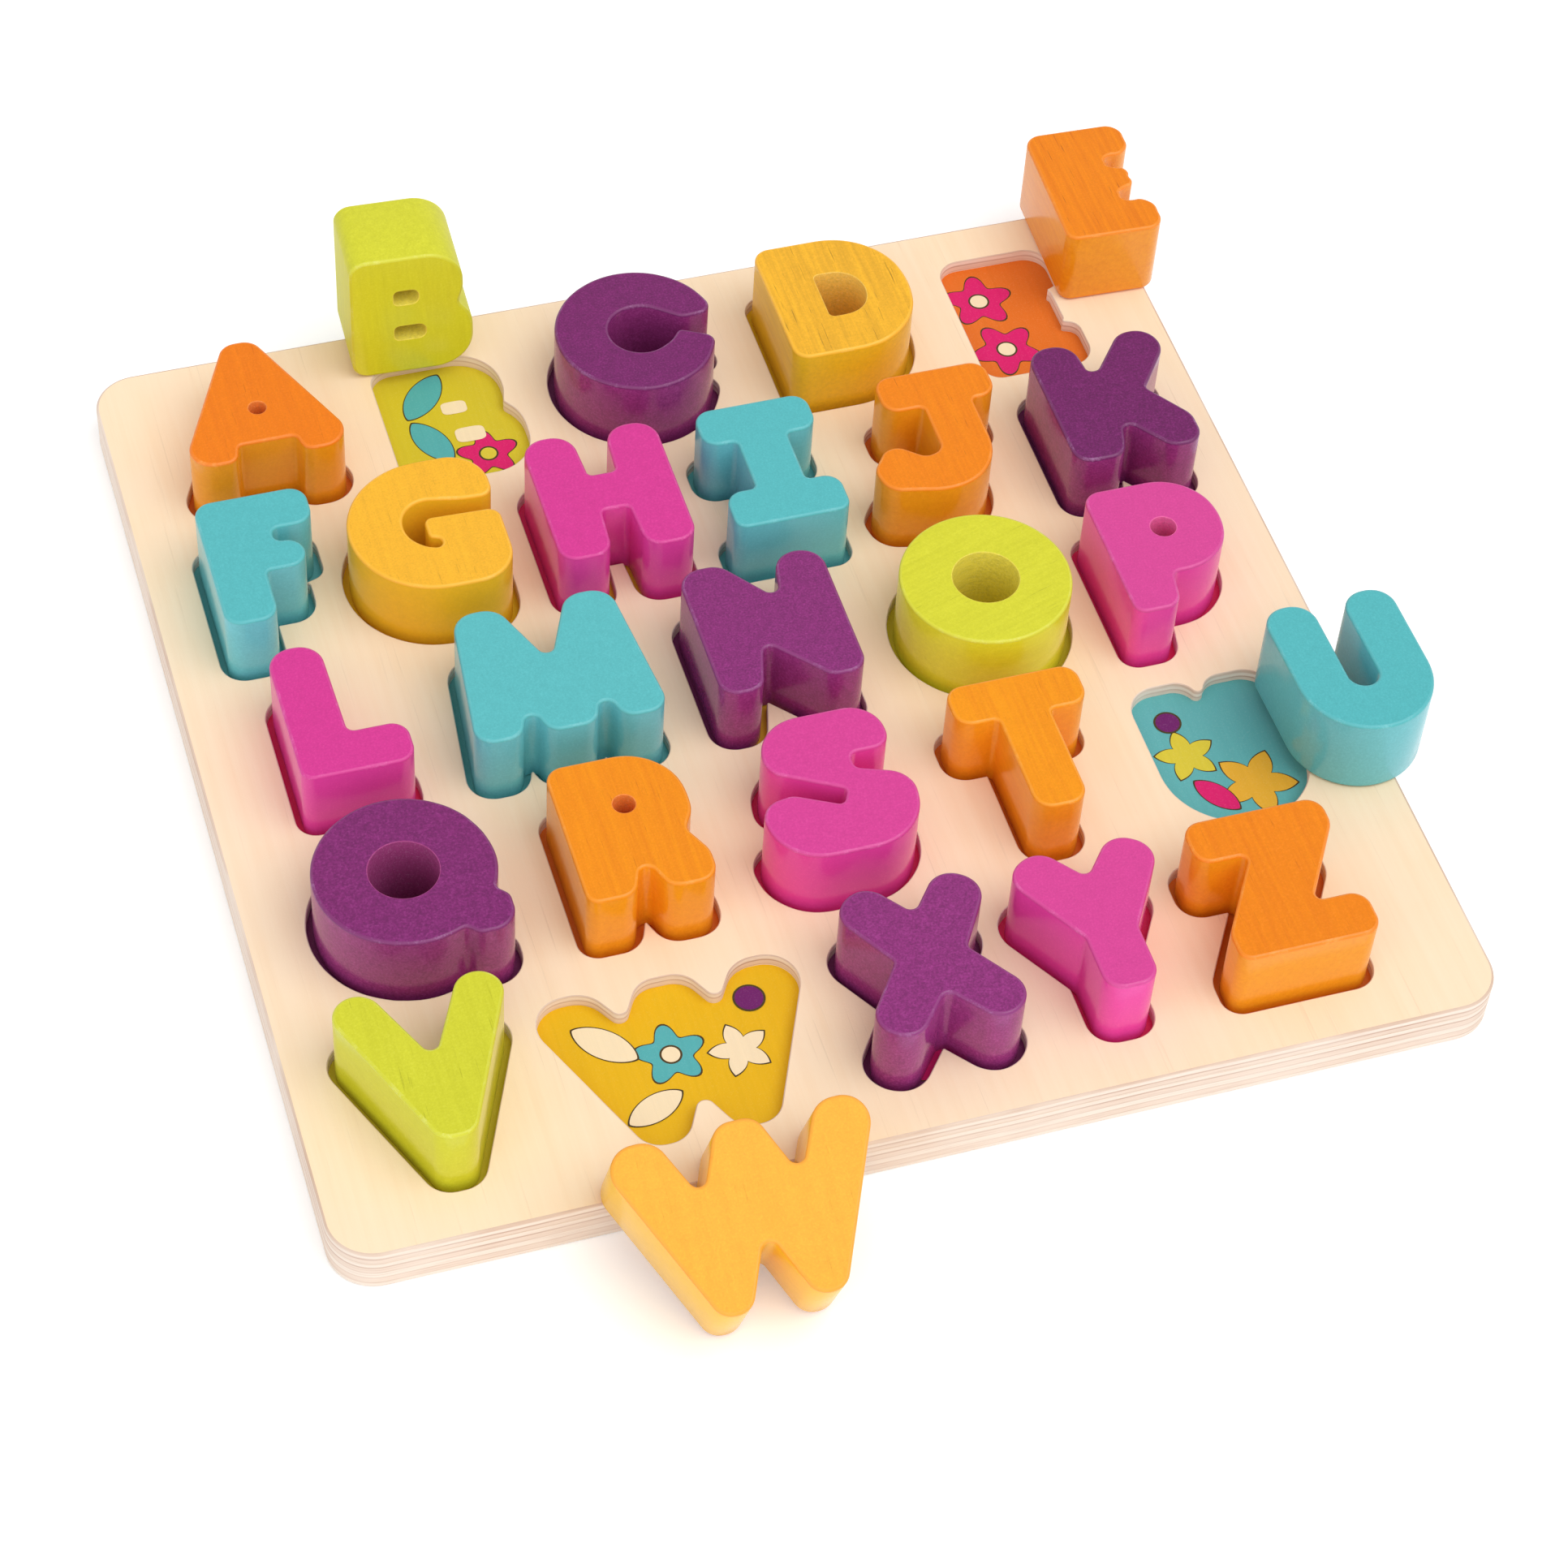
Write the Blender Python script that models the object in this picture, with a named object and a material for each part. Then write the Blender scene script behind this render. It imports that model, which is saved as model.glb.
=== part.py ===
"""Alphabet puzzle: a board of two glued plywood sheets with 26 letter recesses, and 26 thick painted letters.

Sizes are in millimetres, and MM turns them into metres. +Z is up, and the origin is the middle of the board's
underside. Twenty-two letters sit in their recesses. B stands on the back rim, E and U lie on the board, and W
leans on the board's front edge.
"""

import math
from typing import NamedTuple

import bmesh
import bpy
from mathutils import Euler, Matrix, Vector

MM = 0.001

# Heights and strokes that the letters share
CAP = 44.2  # height of a letter
LETTER_THICKNESS = 24.0
OVERSHOOT = 0.7  # round letters pass the base line and the cap line by this
STEM = 14.0  # width of an upright stroke
BAR = 13.2  # height of a level stroke
ARM = 9.6  # height of the middle arm of E and F
SLIT = 4.8  # narrow gap between two strokes
COUNTER = 17.8  # diameter of the round hole in C, O and Q

# Roundings of the letters
END_RADIUS = 6.5  # top of a stem or an arm
FOOT_RADIUS = 5.2  # bottom of a stem or a leg
CORNER_RADIUS = 4.8  # end of a bar
HEEL_RADIUS = 3.5  # plain outer corner
BOWL_RADIUS = 15.5  # bowl of P and R
LOBE_RADIUS = 10.8  # bowls of B and the right side of G
CROTCH_RADIUS = 2.2  # two strokes that meet at a slant
INNER_RADIUS = 1.6  # two strokes that meet squarely
PINCH_RADIUS = 4.2  # a recess between two strokes, before it is grown
EASE = 0.8  # chamfer along the edges of a letter

# Overall widths of the letters whose width sets the rest
A_FOOT_SPAN = 49.2  # between the sharp corners of the feet
A_TIP = 8.4
B_WIDTH = 34.2
B_HEIGHT = 42.8
ROUND_DIAMETER = 46.0  # C, G, O and Q
D_WIDTH = 39.5
E_WIDTH = 28.8
F_WIDTH = 30.0
H_WIDTH = 37.4
I_WIDTH = 32.0
J_WIDTH = 41.8
K_WIDTH = 37.6
L_WIDTH = 29.6
M_WIDTH = 51.4
N_WIDTH = 39.4
P_WIDTH = 33.8
R_WIDTH = 33.8
S_WIDTH = 40.4
T_WIDTH = 35.8
U_WIDTH = 36.4
V_WIDTH = 48.4  # between the sharp corners of the arms
W_WIDTH = 70.4  # between the sharp corners of the arms
X_SPREAD = 23.6  # between the middles of the stroke ends
Y_SPREAD = 23.8
Z_WIDTH = 37.6

# Board
BOARD_WIDTH = 300.0
BOARD_DEPTH = 300.0
BASE_THICKNESS = 9.7
TOP_THICKNESS = 3.6
GLUE_LINE = 0.3  # gap that stands for the glue between the sheets
SEAT_GAP = 0.3  # between a letter and what it rests on
CLEARANCE = 1.8  # between a letter and the wall of its recess
BOARD_CORNER = 12.0
BOARD_EASE = 1.0
CUT_OVERRUN = 2.0

# Letters that are out of their recess, placed from their recess or from the board's edges
B_SHIFT = -5.6  # sideways from its recess
B_INSET = 17.6  # its front face stands this far inside the back edge
B_TURN = -2.6
E_SHIFT = Vector((29.4, 22.4))
E_TURN = -2.0
U_SHIFT = Vector((33.2, 0.6))
U_TURN = 1.0
W_TILT = 21.4  # slope of the leaning letter, in degrees
W_TURN = -2.0
W_ROLL = 2.7  # turn in its own plane

# Rounding is drawn with chords that leave the true arc by at most this
CHORD_ERROR = 0.28
SHORTEST_SIDE = 0.25
SHARPEST = 0.4
SAME_POINT = 0.01

LETTER, RECESS, BOTH = "letter", "recess", "both"


class Corner(NamedTuple):
    """A corner of an outline, its radius, and whether the letter, its recess or both turn there."""

    x: float
    y: float
    radius: float
    cut: str = BOTH


class Row(NamedTuple):
    """A row of recesses, and how the wood beside and between them shares what the board leaves free."""

    letters: str
    wood: tuple


ROWS = (
    Row("ABCDE", (16.9, 13.1, 9.3, 13.4, 15.7, 23.8)),
    Row("FGHIJK", (13.3, 3.6, 7.6, 7.1, 6.5, 8.8, 11.6)),
    Row("LMNOP", (20.6, 12.0, 10.7, 12.7, 7.9, 18.8)),
    Row("QRSTU", (15.4, 13.9, 12.0, 12.8, 15.3, 19.5)),
    Row("VWXYZ", (11.1, 6.6, 7.2, 4.3, 6.0, 29.8)),
)
ROW_WOOD = (13.0, 9.1, 7.5, 8.3, 10.3, 12.8)  # behind, between and before the rows

PAINTS = {
    "orange": ("AEJRTZ", (246, 128, 33)),
    "lime": ("BOV", (214, 219, 58)),
    "purple": ("CKNQX", (118, 43, 110)),
    "yellow": ("DGW", (251, 182, 48)),
    "teal": ("FIMU", (90, 190, 199)),
    "magenta": ("HLPSY", (222, 68, 152)),
}
BIRCH = (250, 226, 192)
PAINT_ROUGHNESS = 0.42
BIRCH_ROUGHNESS = 0.55


def mirrored(right):
    """A whole outline from its right half, which runs from the bottom of the axis to the top."""
    left = [corner._replace(x=-corner.x) for corner in reversed(right) if corner.x]
    return right + left


def bowl(x, y, radius, start, end, turns, cut=BOTH):
    """Corners that round to one arc about (x, y), between two angles in degrees."""
    step = math.radians(end - start) / turns
    reach = radius / math.cos(step / 2)
    angles = [math.radians(start) + (i + 0.5) * step for i in range(turns)]
    return [Corner(x + reach * math.cos(a), y + reach * math.sin(a), radius, cut) for a in angles]


def stroke_end(x, y, angle, radius=END_RADIUS):
    """The two corners of a half-round end about (x, y), on a stroke that points along angle."""
    turn = Matrix.Rotation(math.radians(angle), 2)
    ends = [turn @ Vector((radius, side * radius)) for side in (-1, 1)]
    return [Corner(x + end.x, y + end.y, radius) for end in ends]


def ring(x, y, radius):
    """A round hole."""
    return bowl(x, y, radius, 0, 360, 4)


def block(x, y, width, height, left_radius, right_radius):
    """An upright rectangle about (x, y), rounded more on one side than on the other."""
    across, up = width / 2, height / 2
    return [
        Corner(x - across, y - up, left_radius),
        Corner(x + across, y - up, right_radius),
        Corner(x + across, y + up, right_radius),
        Corner(x - across, y + up, left_radius),
    ]


def slit(x, low, high):
    """The closed end of a slit that opens to the right, between two levels."""
    radius = (high - low) / 2 * 0.9
    return [Corner(x, low, radius, LETTER), Corner(x, high, radius, LETTER)]


def letter_a():
    """Two wide legs with a low arch between the feet."""
    arch_half, arch_height, arch_flare = 7.8, 5.8, 1.4
    hole_height, hole_radius = 18.3, 2.4
    outline = mirrored([
        Corner(arch_half, arch_height, INNER_RADIUS),
        Corner(arch_half + arch_flare, 0, HEEL_RADIUS),
        Corner(A_FOOT_SPAN / 2, 0, END_RADIUS),
        Corner(A_TIP / 2, CAP, FOOT_RADIUS),
    ])
    return outline, [ring(0, hole_height, hole_radius)]


def letter_b():
    """A stem with two bowls and two short slots."""
    right, upper_inset, waist_inset = B_WIDTH / 2, 2.6, 4.0
    waist, shoulder, shoulder_radius = 23.6, 5.4, 7.0
    outline = [
        Corner(-right, 0, CORNER_RADIUS),
        Corner(right, 0, LOBE_RADIUS),
        Corner(right, waist - shoulder, LOBE_RADIUS),
        Corner(right - waist_inset, waist, HEEL_RADIUS),
        Corner(right - upper_inset, waist + shoulder, shoulder_radius),
        Corner(right - upper_inset, B_HEIGHT, LOBE_RADIUS),
        Corner(-right, B_HEIGHT, CORNER_RADIUS),
    ]
    slot_left, slot_height = -5.0, 5.2
    lower_slot, upper_slot = (15.0, 8.8), (28.2, 7.0)
    holes = [
        block(slot_left + length / 2, height, length, slot_height, INNER_RADIUS, CROTCH_RADIUS)
        for height, length in (lower_slot, upper_slot)
    ]
    return outline, holes


def letter_c():
    """A ring with a slanted mouth on its right."""
    radius, middle, hole = ROUND_DIAMETER / 2, CAP / 2, COUNTER / 2
    lip_drop, lip_rise = 2.4, 1.8
    lower_lip, upper_lip, hole_shift = hole + 2.2, hole + 4.6, 0.8
    jaw_inset, jaw_drop, pinch_inset = 2.6, 7.2, 5.0
    mouth_from, mouth_to, hole_from, hole_to = 18, 332, -18, -315
    outline = bowl(0, middle, radius, mouth_from, mouth_to, 7)
    outline += [
        Corner(radius - jaw_inset, middle - jaw_drop, HEEL_RADIUS),
        Corner(radius - pinch_inset, middle - lip_rise, PINCH_RADIUS, RECESS),
        Corner(lower_lip, middle - lip_drop, INNER_RADIUS, LETTER),
    ]
    outline += bowl(hole_shift, middle, hole, hole_from, hole_to, 7, LETTER)
    outline += [
        Corner(upper_lip, middle + lip_rise, CORNER_RADIUS, LETTER),
        Corner(radius, middle + lip_drop, HEEL_RADIUS),
    ]
    return outline, []


def letter_d():
    """A stem with one full bowl and a hole of the same shape."""
    bowl_radius, hole_radius = 20.6, 8.0
    hole_width, hole_height = 12.8, 16.8
    outline = block(0, CAP / 2, D_WIDTH, CAP, CORNER_RADIUS, bowl_radius)
    hole_middle = STEM + (hole_width - D_WIDTH) / 2
    return outline, [block(hole_middle, CAP / 2, hole_width, hole_height, INNER_RADIUS, hole_radius)]


def letter_e():
    """A stem with three arms, parted by two slits."""
    right, arm_inset, slit_length = E_WIDTH / 2, 3.4, 8.6
    arm_end, slit_end = right - arm_inset, right - slit_length
    pinch = (arm_end + slit_end) / 2
    low = (CAP - ARM) / 2 - SLIT
    high = CAP - low
    outline = [
        Corner(-right, 0, HEEL_RADIUS),
        Corner(right, 0, CORNER_RADIUS),
        Corner(right, low, CORNER_RADIUS),
        *slit(slit_end, low, low + SLIT),
        Corner(pinch, low + SLIT / 2, PINCH_RADIUS, RECESS),
        Corner(arm_end, low + SLIT, CORNER_RADIUS),
        Corner(arm_end, high - SLIT, CORNER_RADIUS),
        *slit(slit_end, high - SLIT, high),
        Corner(pinch, high - SLIT / 2, PINCH_RADIUS, RECESS),
        Corner(right, high, CORNER_RADIUS),
        Corner(right, CAP, CORNER_RADIUS),
        Corner(-right, CAP, CORNER_RADIUS),
    ]
    return outline, []


def letter_f():
    """A stem with two arms, parted by one slit."""
    right, arm_inset, slit_length = F_WIDTH / 2, 4.6, 11.6
    arm_end, slit_end = right - arm_inset, right - slit_length
    high = CAP - BAR
    arm_top = high - SLIT
    arm_bottom = arm_top - ARM
    outline = [
        Corner(-right, 0, CORNER_RADIUS),
        Corner(STEM - right, 0, CORNER_RADIUS),
        Corner(STEM - right, arm_bottom, INNER_RADIUS),
        Corner(arm_end, arm_bottom, CORNER_RADIUS),
        Corner(arm_end, arm_top, CORNER_RADIUS),
        *slit(slit_end, arm_top, high),
        Corner((arm_end + slit_end) / 2, high - SLIT / 2, PINCH_RADIUS, RECESS),
        Corner(right, high, CORNER_RADIUS),
        Corner(right, CAP, CORNER_RADIUS),
        Corner(-right, CAP, CORNER_RADIUS),
    ]
    return outline, []


def letter_g():
    """A round letter whose mouth runs into a hooked hole."""
    radius, middle, hole = ROUND_DIAMETER / 2, CAP / 2, COUNTER / 2
    flat_side, mouth_rise = 5.0, 1.6
    right, mouth = radius - flat_side, middle + mouth_rise
    hook, spur, pinch_inset, hole_shift = -2.3, 0.8, 3.4, 0.8
    shelf_drop, spur_drop, hook_drop = 4.4, 5.6, 8.9
    roof_inset, roof_rise = 8.0, 0.4
    outline = bowl(0, middle, radius, 90, 270, 4)
    outline += [
        Corner(right, middle - radius, LOBE_RADIUS),
        Corner(right, mouth, HEEL_RADIUS),
        Corner(right - pinch_inset, mouth + SLIT / 2, PINCH_RADIUS, RECESS),
        Corner(hook, mouth + spur, CROTCH_RADIUS, LETTER),
        Corner(hook, middle - shelf_drop, INNER_RADIUS, LETTER),
        Corner(spur, middle - spur_drop, INNER_RADIUS, LETTER),
        Corner(spur / 2, middle - hook_drop, INNER_RADIUS, LETTER),
    ]
    hole_from, hole_to = 255, 90
    outline += bowl(hole_shift, middle + roof_rise, hole, hole_from, hole_to, 4, LETTER)
    outline += [
        Corner(right - roof_inset, mouth + SLIT + roof_rise, END_RADIUS, LETTER),
        Corner(right, mouth + SLIT, HEEL_RADIUS),
        Corner(right, middle + radius, LOBE_RADIUS),
    ]
    return outline, []


def letter_h():
    """Two stems joined by a bar, with a notch above and below it."""
    half, flare = H_WIDTH / 2, 0.9
    mouth = half - STEM
    root = mouth - flare
    outline = mirrored([
        Corner(root, (CAP - BAR) / 2, INNER_RADIUS),
        Corner(mouth, 0, FOOT_RADIUS),
        Corner(half, 0, FOOT_RADIUS),
        Corner(half, CAP + OVERSHOOT, END_RADIUS),
        Corner(mouth, CAP + OVERSHOOT, END_RADIUS),
        Corner(root, (CAP + BAR) / 2, INNER_RADIUS),
    ])
    return outline, []


def letter_i():
    """A stem between two level bars."""
    half = I_WIDTH / 2
    outline = mirrored([
        Corner(half, 0, HEEL_RADIUS),
        Corner(half, BAR, CORNER_RADIUS),
        Corner(STEM / 2, BAR, INNER_RADIUS),
        Corner(STEM / 2, CAP - BAR, INNER_RADIUS),
        Corner(half, CAP - BAR, CORNER_RADIUS),
        Corner(half, CAP, CORNER_RADIUS),
    ])
    return outline, []


def letter_j():
    """A bar over a stem that hooks to the left."""
    right, bar_right, bar_left = J_WIDTH / 2, 7.4, 10.8
    stem_right = right - bar_right
    stem_left = stem_right - STEM
    bar_end = stem_left - bar_left
    hook_floor, hook_slope, hook_length = 14.2, 1.2, 5.2
    lobe_top, lobe_side, lobe_bottom = 20.2, 11.2, 3.2
    lobe_width, lobe_heel, sole = 6.6, 1.4, 16.0
    knee_radius, sole_radius = 16.0, 20.0
    outline = [
        Corner(stem_right, 0, knee_radius),
        Corner(stem_right, CAP - BAR, INNER_RADIUS),
        Corner(right, CAP - BAR, CORNER_RADIUS),
        Corner(right, CAP, CORNER_RADIUS),
        Corner(bar_end, CAP, CORNER_RADIUS),
        Corner(bar_end, CAP - BAR, CORNER_RADIUS),
        Corner(stem_left, CAP - BAR, INNER_RADIUS),
        Corner(stem_left, hook_floor, HEEL_RADIUS),
        Corner(stem_left - hook_length, hook_floor - hook_slope, HEEL_RADIUS),
        Corner(lobe_width - right, lobe_top, CORNER_RADIUS),
        Corner(-right, lobe_side, CORNER_RADIUS),
        Corner(lobe_heel - right, lobe_bottom, END_RADIUS),
        Corner(sole - right, 0, sole_radius),
    ]
    return outline, []


def letter_k():
    """A stem with a raised arm and a leg."""
    right, arm_reach = K_WIDTH / 2, 0.6
    stem_right = STEM - right
    leg_left, leg_rise = 8.8, 10.2
    waist, waist_height = right - 9.6, CAP / 2 + 0.8
    lower_notch, upper_notch, notch_reach, ledge = 13.0, CAP - 11.6, 3.6, 0.6
    arm_fall = 7.6
    outline = [
        Corner(-right, 0, FOOT_RADIUS),
        Corner(stem_right, 0, FOOT_RADIUS),
        Corner(stem_right + notch_reach, lower_notch, CROTCH_RADIUS),
        Corner(leg_left, 0, FOOT_RADIUS),
        Corner(right - arm_reach, 0, FOOT_RADIUS),
        Corner(right - arm_reach, leg_rise, END_RADIUS),
        Corner(waist, waist_height, INNER_RADIUS),
        Corner(right + arm_reach, CAP - arm_fall, END_RADIUS),
        Corner(right - arm_reach, CAP + OVERSHOOT, END_RADIUS),
        Corner(leg_left, CAP + OVERSHOOT, END_RADIUS),
        Corner(stem_right + notch_reach, upper_notch, CROTCH_RADIUS),
        Corner(stem_right + ledge, upper_notch, INNER_RADIUS),
        Corner(stem_right - ledge, CAP, END_RADIUS),
        Corner(-right, CAP, END_RADIUS),
    ]
    return outline, []


def letter_l():
    """A stem on a level foot."""
    right, flare = L_WIDTH / 2, 0.6
    outline = [
        Corner(-right, 0, HEEL_RADIUS),
        Corner(right, 0, CORNER_RADIUS),
        Corner(right, BAR, CORNER_RADIUS),
        Corner(STEM + flare - right, BAR, CROTCH_RADIUS),
        Corner(STEM - right, CAP, END_RADIUS),
        Corner(-right, CAP, END_RADIUS),
    ]
    return outline, []


def letter_m():
    """Two arms over three feet."""
    half, slope = M_WIDTH / 2, 4.6
    notch, notch_half, notch_height = 9.8, 3.7, 11.2
    mouth_half, mouth_depth = 9.2, 21.4
    outline = mirrored([
        Corner(notch - notch_half, 0, CORNER_RADIUS),
        Corner(notch, notch_height, CROTCH_RADIUS),
        Corner(notch + notch_half, 0, FOOT_RADIUS),
        Corner(half, 0, FOOT_RADIUS),
        Corner(half - slope, CAP, END_RADIUS),
        Corner(mouth_half, CAP, END_RADIUS),
        Corner(0, CAP - mouth_depth, CROTCH_RADIUS),
    ])
    return outline, []


def letter_n():
    """Two stems joined by a slanted stroke."""
    right, notch = N_WIDTH / 2, 15.6
    left_foot, left_notch, right_foot = 11.0, 15.4, 9.8
    top_left, top_right = 11.8, 12.4
    outline = [
        Corner(-right, 0, FOOT_RADIUS),
        Corner(left_foot - right, 0, FOOT_RADIUS),
        Corner(left_notch - right, notch, CROTCH_RADIUS),
        Corner(right - right_foot, 0, FOOT_RADIUS),
        Corner(right, 0, FOOT_RADIUS),
        Corner(right, CAP, END_RADIUS),
        Corner(right - top_right, CAP, END_RADIUS),
        Corner(right - left_notch, CAP - notch, CROTCH_RADIUS),
        Corner(top_left - right, CAP, END_RADIUS),
        Corner(-right, CAP, END_RADIUS),
    ]
    return outline, []


def letter_o():
    """A ring."""
    middle = CAP / 2
    return ring(0, middle, ROUND_DIAMETER / 2), [ring(0, middle, COUNTER / 2)]


def letter_p():
    """A stem with one bowl and a small round hole."""
    right, bowl_bottom = P_WIDTH / 2, 11.6
    foot_inset, flare = 1.4, 0.6
    hole_radius, hole_drop = 3.5, 16.7
    stem_right = STEM - right
    outline = [
        Corner(-right, 0, HEEL_RADIUS),
        Corner(stem_right - foot_inset, 0, CORNER_RADIUS),
        Corner(stem_right + flare, bowl_bottom, CROTCH_RADIUS),
        Corner(right, bowl_bottom, BOWL_RADIUS),
        Corner(right, CAP, BOWL_RADIUS),
        Corner(-right, CAP, CORNER_RADIUS),
    ]
    return outline, [ring(stem_right + hole_radius, CAP - hole_drop, hole_radius)]


def letter_q():
    """A ring with a short round tail."""
    radius, middle = ROUND_DIAMETER / 2, CAP / 2
    tail, tail_width, root_near, root_far = 23.6, 10.0, 10.6, 20.7
    tail_from, tail_to = -27, 295
    outline = bowl(0, middle, radius, tail_from, tail_to, 7)
    outline += [
        Corner(root_near, middle - root_far, INNER_RADIUS),
        Corner(tail - tail_width, middle - tail, HEEL_RADIUS),
        Corner(tail, middle - tail, END_RADIUS),
        Corner(tail, middle - tail + tail_width, HEEL_RADIUS),
        Corner(root_far, middle - root_near, INNER_RADIUS),
    ]
    return outline, [ring(0, middle, COUNTER / 2)]


def letter_r():
    """A stem with a bowl, a small round hole and a leg."""
    right, bowl_inset, waist_inset = R_WIDTH / 2, 0.6, 4.0
    foot_right, notch, leg_left, notch_height = 12.2, 16.6, 21.2, 11.8
    waist, shoulder, knee, shoulder_radius = 17.2, 6.0, 7.8, 9.0
    hole_radius, hole_drop = 2.9, 15.8
    outline = [
        Corner(-right, 0, HEEL_RADIUS),
        Corner(foot_right - right, 0, FOOT_RADIUS),
        Corner(notch - right, notch_height, CROTCH_RADIUS),
        Corner(leg_left - right, 0, FOOT_RADIUS),
        Corner(right, 0, FOOT_RADIUS),
        Corner(right, waist - knee, END_RADIUS),
        Corner(right - waist_inset, waist, HEEL_RADIUS),
        Corner(right - bowl_inset, waist + shoulder, shoulder_radius),
        Corner(right - bowl_inset, CAP, BOWL_RADIUS),
        Corner(-right, CAP, CORNER_RADIUS),
    ]
    return outline, [ring(STEM + hole_radius - right, CAP - hole_drop, hole_radius)]


def letter_s():
    """Two bowls that curl around two slits."""
    right, low, high = S_WIDTH / 2, -OVERSHOOT, CAP + OVERSHOOT
    left_inset, right_inset = 5.2, 1.8
    upper_roof, upper_floor, upper_end, upper_pinch = CAP - 14.2, CAP - 19.0, 13.2, 11.6
    lower_roof, lower_floor, lower_end, lower_pinch = 19.0, 14.4, 23.2, 13.0
    end_slant, pinch_sag = 2.2, 1.6
    shoulder_drop, shoulder_rise = 23.8, 28.8
    tongue, tongue_top, lobe_top = 9.2, 20.4, 19.2
    belly_radius, crown_radius, heel_radius, curl_radius = 18.0, 16.0, 14.0, 9.0
    outline = [
        Corner(-right, low, heel_radius),
        Corner(right, low, belly_radius),
        Corner(right, CAP - shoulder_drop, curl_radius),
        Corner(right - upper_pinch, upper_roof - pinch_sag, PINCH_RADIUS, RECESS),
        Corner(right - upper_end, upper_floor, CROTCH_RADIUS, LETTER),
        Corner(right - upper_end, upper_roof, CROTCH_RADIUS, LETTER),
        Corner(right - right_inset, upper_roof, CORNER_RADIUS),
        Corner(right - right_inset, high, curl_radius),
        Corner(left_inset - right, high, crown_radius),
        Corner(left_inset - right, shoulder_rise, curl_radius),
        Corner(lower_pinch - right, tongue_top + pinch_sag, PINCH_RADIUS, RECESS),
        Corner(lower_end - right, lower_roof, INNER_RADIUS, LETTER),
        Corner(lower_end - end_slant - right, lower_floor, INNER_RADIUS, LETTER),
        Corner(tongue - right, tongue_top, CORNER_RADIUS),
        Corner(-right, lobe_top, END_RADIUS),
    ]
    return outline, []


def letter_t():
    """A bar on a stem."""
    half = T_WIDTH / 2
    outline = mirrored([
        Corner(STEM / 2, 0, FOOT_RADIUS),
        Corner(STEM / 2, CAP - BAR, INNER_RADIUS),
        Corner(half, CAP - BAR, CORNER_RADIUS),
        Corner(half, CAP, CORNER_RADIUS),
    ])
    return outline, []


def letter_u():
    """Two arms on a half-round foot."""
    half, pinch_depth = U_WIDTH / 2, 9.6
    mouth = half - STEM
    top = CAP + OVERSHOOT
    outline = mirrored([
        Corner(half, -OVERSHOOT, half),
        Corner(half, top, END_RADIUS),
        Corner(mouth, top, END_RADIUS),
        Corner(mouth, STEM, mouth, LETTER),
        Corner(0, top - pinch_depth, PINCH_RADIUS, RECESS),
    ])
    return outline, []


def letter_v():
    """Two arms that meet in a blunt tip."""
    tip_half, mouth_half, mouth_depth, top = 4.4, 11.0, 22.9, CAP + 1.7
    outline = mirrored([
        Corner(tip_half, 0, FOOT_RADIUS),
        Corner(V_WIDTH / 2, top, END_RADIUS),
        Corner(mouth_half, top, END_RADIUS),
        Corner(0, top - mouth_depth, CROTCH_RADIUS),
    ])
    return outline, []


def letter_w():
    """Three lobes over two feet. The recess follows its notches only part of the way."""
    top, valley, lobe_half, gap_half = CAP + OVERSHOOT, 12.0, 4.9, 7.8
    foot_near, foot_far = 7.8, 15.2
    crotch, crotch_pinch, valley_depth, valley_pinch = 18.1, 15.2, 16.6, 12.6
    outline = mirrored([
        Corner(0, crotch, CROTCH_RADIUS, LETTER),
        Corner(0, crotch_pinch, PINCH_RADIUS, RECESS),
        Corner(foot_near, 0, FOOT_RADIUS),
        Corner(foot_far, 0, FOOT_RADIUS),
        Corner(W_WIDTH / 2, top, END_RADIUS),
        Corner(valley + gap_half, top, END_RADIUS),
        Corner(valley, top - valley_depth, CROTCH_RADIUS, LETTER),
        Corner(valley, top - valley_pinch, PINCH_RADIUS, RECESS),
        Corner(lobe_half, top, FOOT_RADIUS),
    ])
    return outline, []


def letter_x():
    """Two crossed strokes with half-round ends."""
    waist, lower_notch, upper_notch, splay = 9.4, 10.8, 9.0, 0.5
    lower_slope, upper_slope = -52, 54
    reach, rise = X_SPREAD / 2, CAP + OVERSHOOT - END_RADIUS
    outline = mirrored([
        Corner(0, lower_notch, CROTCH_RADIUS),
        *stroke_end(reach + splay, END_RADIUS, lower_slope),
        Corner(waist, CAP / 2, INNER_RADIUS),
        *stroke_end(reach - splay, rise, upper_slope),
        Corner(0, CAP - upper_notch, CROTCH_RADIUS),
    ])
    return outline, []


def letter_y():
    """Two arms on a stem."""
    fork, notch, slope = 17.0, 9.4, 58
    outline = mirrored([
        Corner(STEM / 2, 0, FOOT_RADIUS),
        Corner(STEM / 2, fork, HEEL_RADIUS),
        *stroke_end(Y_SPREAD / 2, CAP - END_RADIUS, slope),
        Corner(0, CAP - notch, CROTCH_RADIUS),
    ])
    return outline, []


def letter_z():
    """Two level bars joined by a slanted stroke."""
    half, corner_rise, inset = Z_WIDTH / 2, 8.8, 13.7
    outline = [
        Corner(-half, 0, HEEL_RADIUS),
        Corner(half, 0, CORNER_RADIUS),
        Corner(half, BAR, CORNER_RADIUS),
        Corner(half - inset, BAR, INNER_RADIUS),
        Corner(half, CAP - corner_rise, END_RADIUS),
        Corner(half, CAP, CORNER_RADIUS),
        Corner(-half, CAP, CORNER_RADIUS),
        Corner(-half, CAP - BAR, CORNER_RADIUS),
        Corner(inset - half, CAP - BAR, INNER_RADIUS),
        Corner(-half, corner_rise, END_RADIUS),
    ]
    return outline, []


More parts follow.
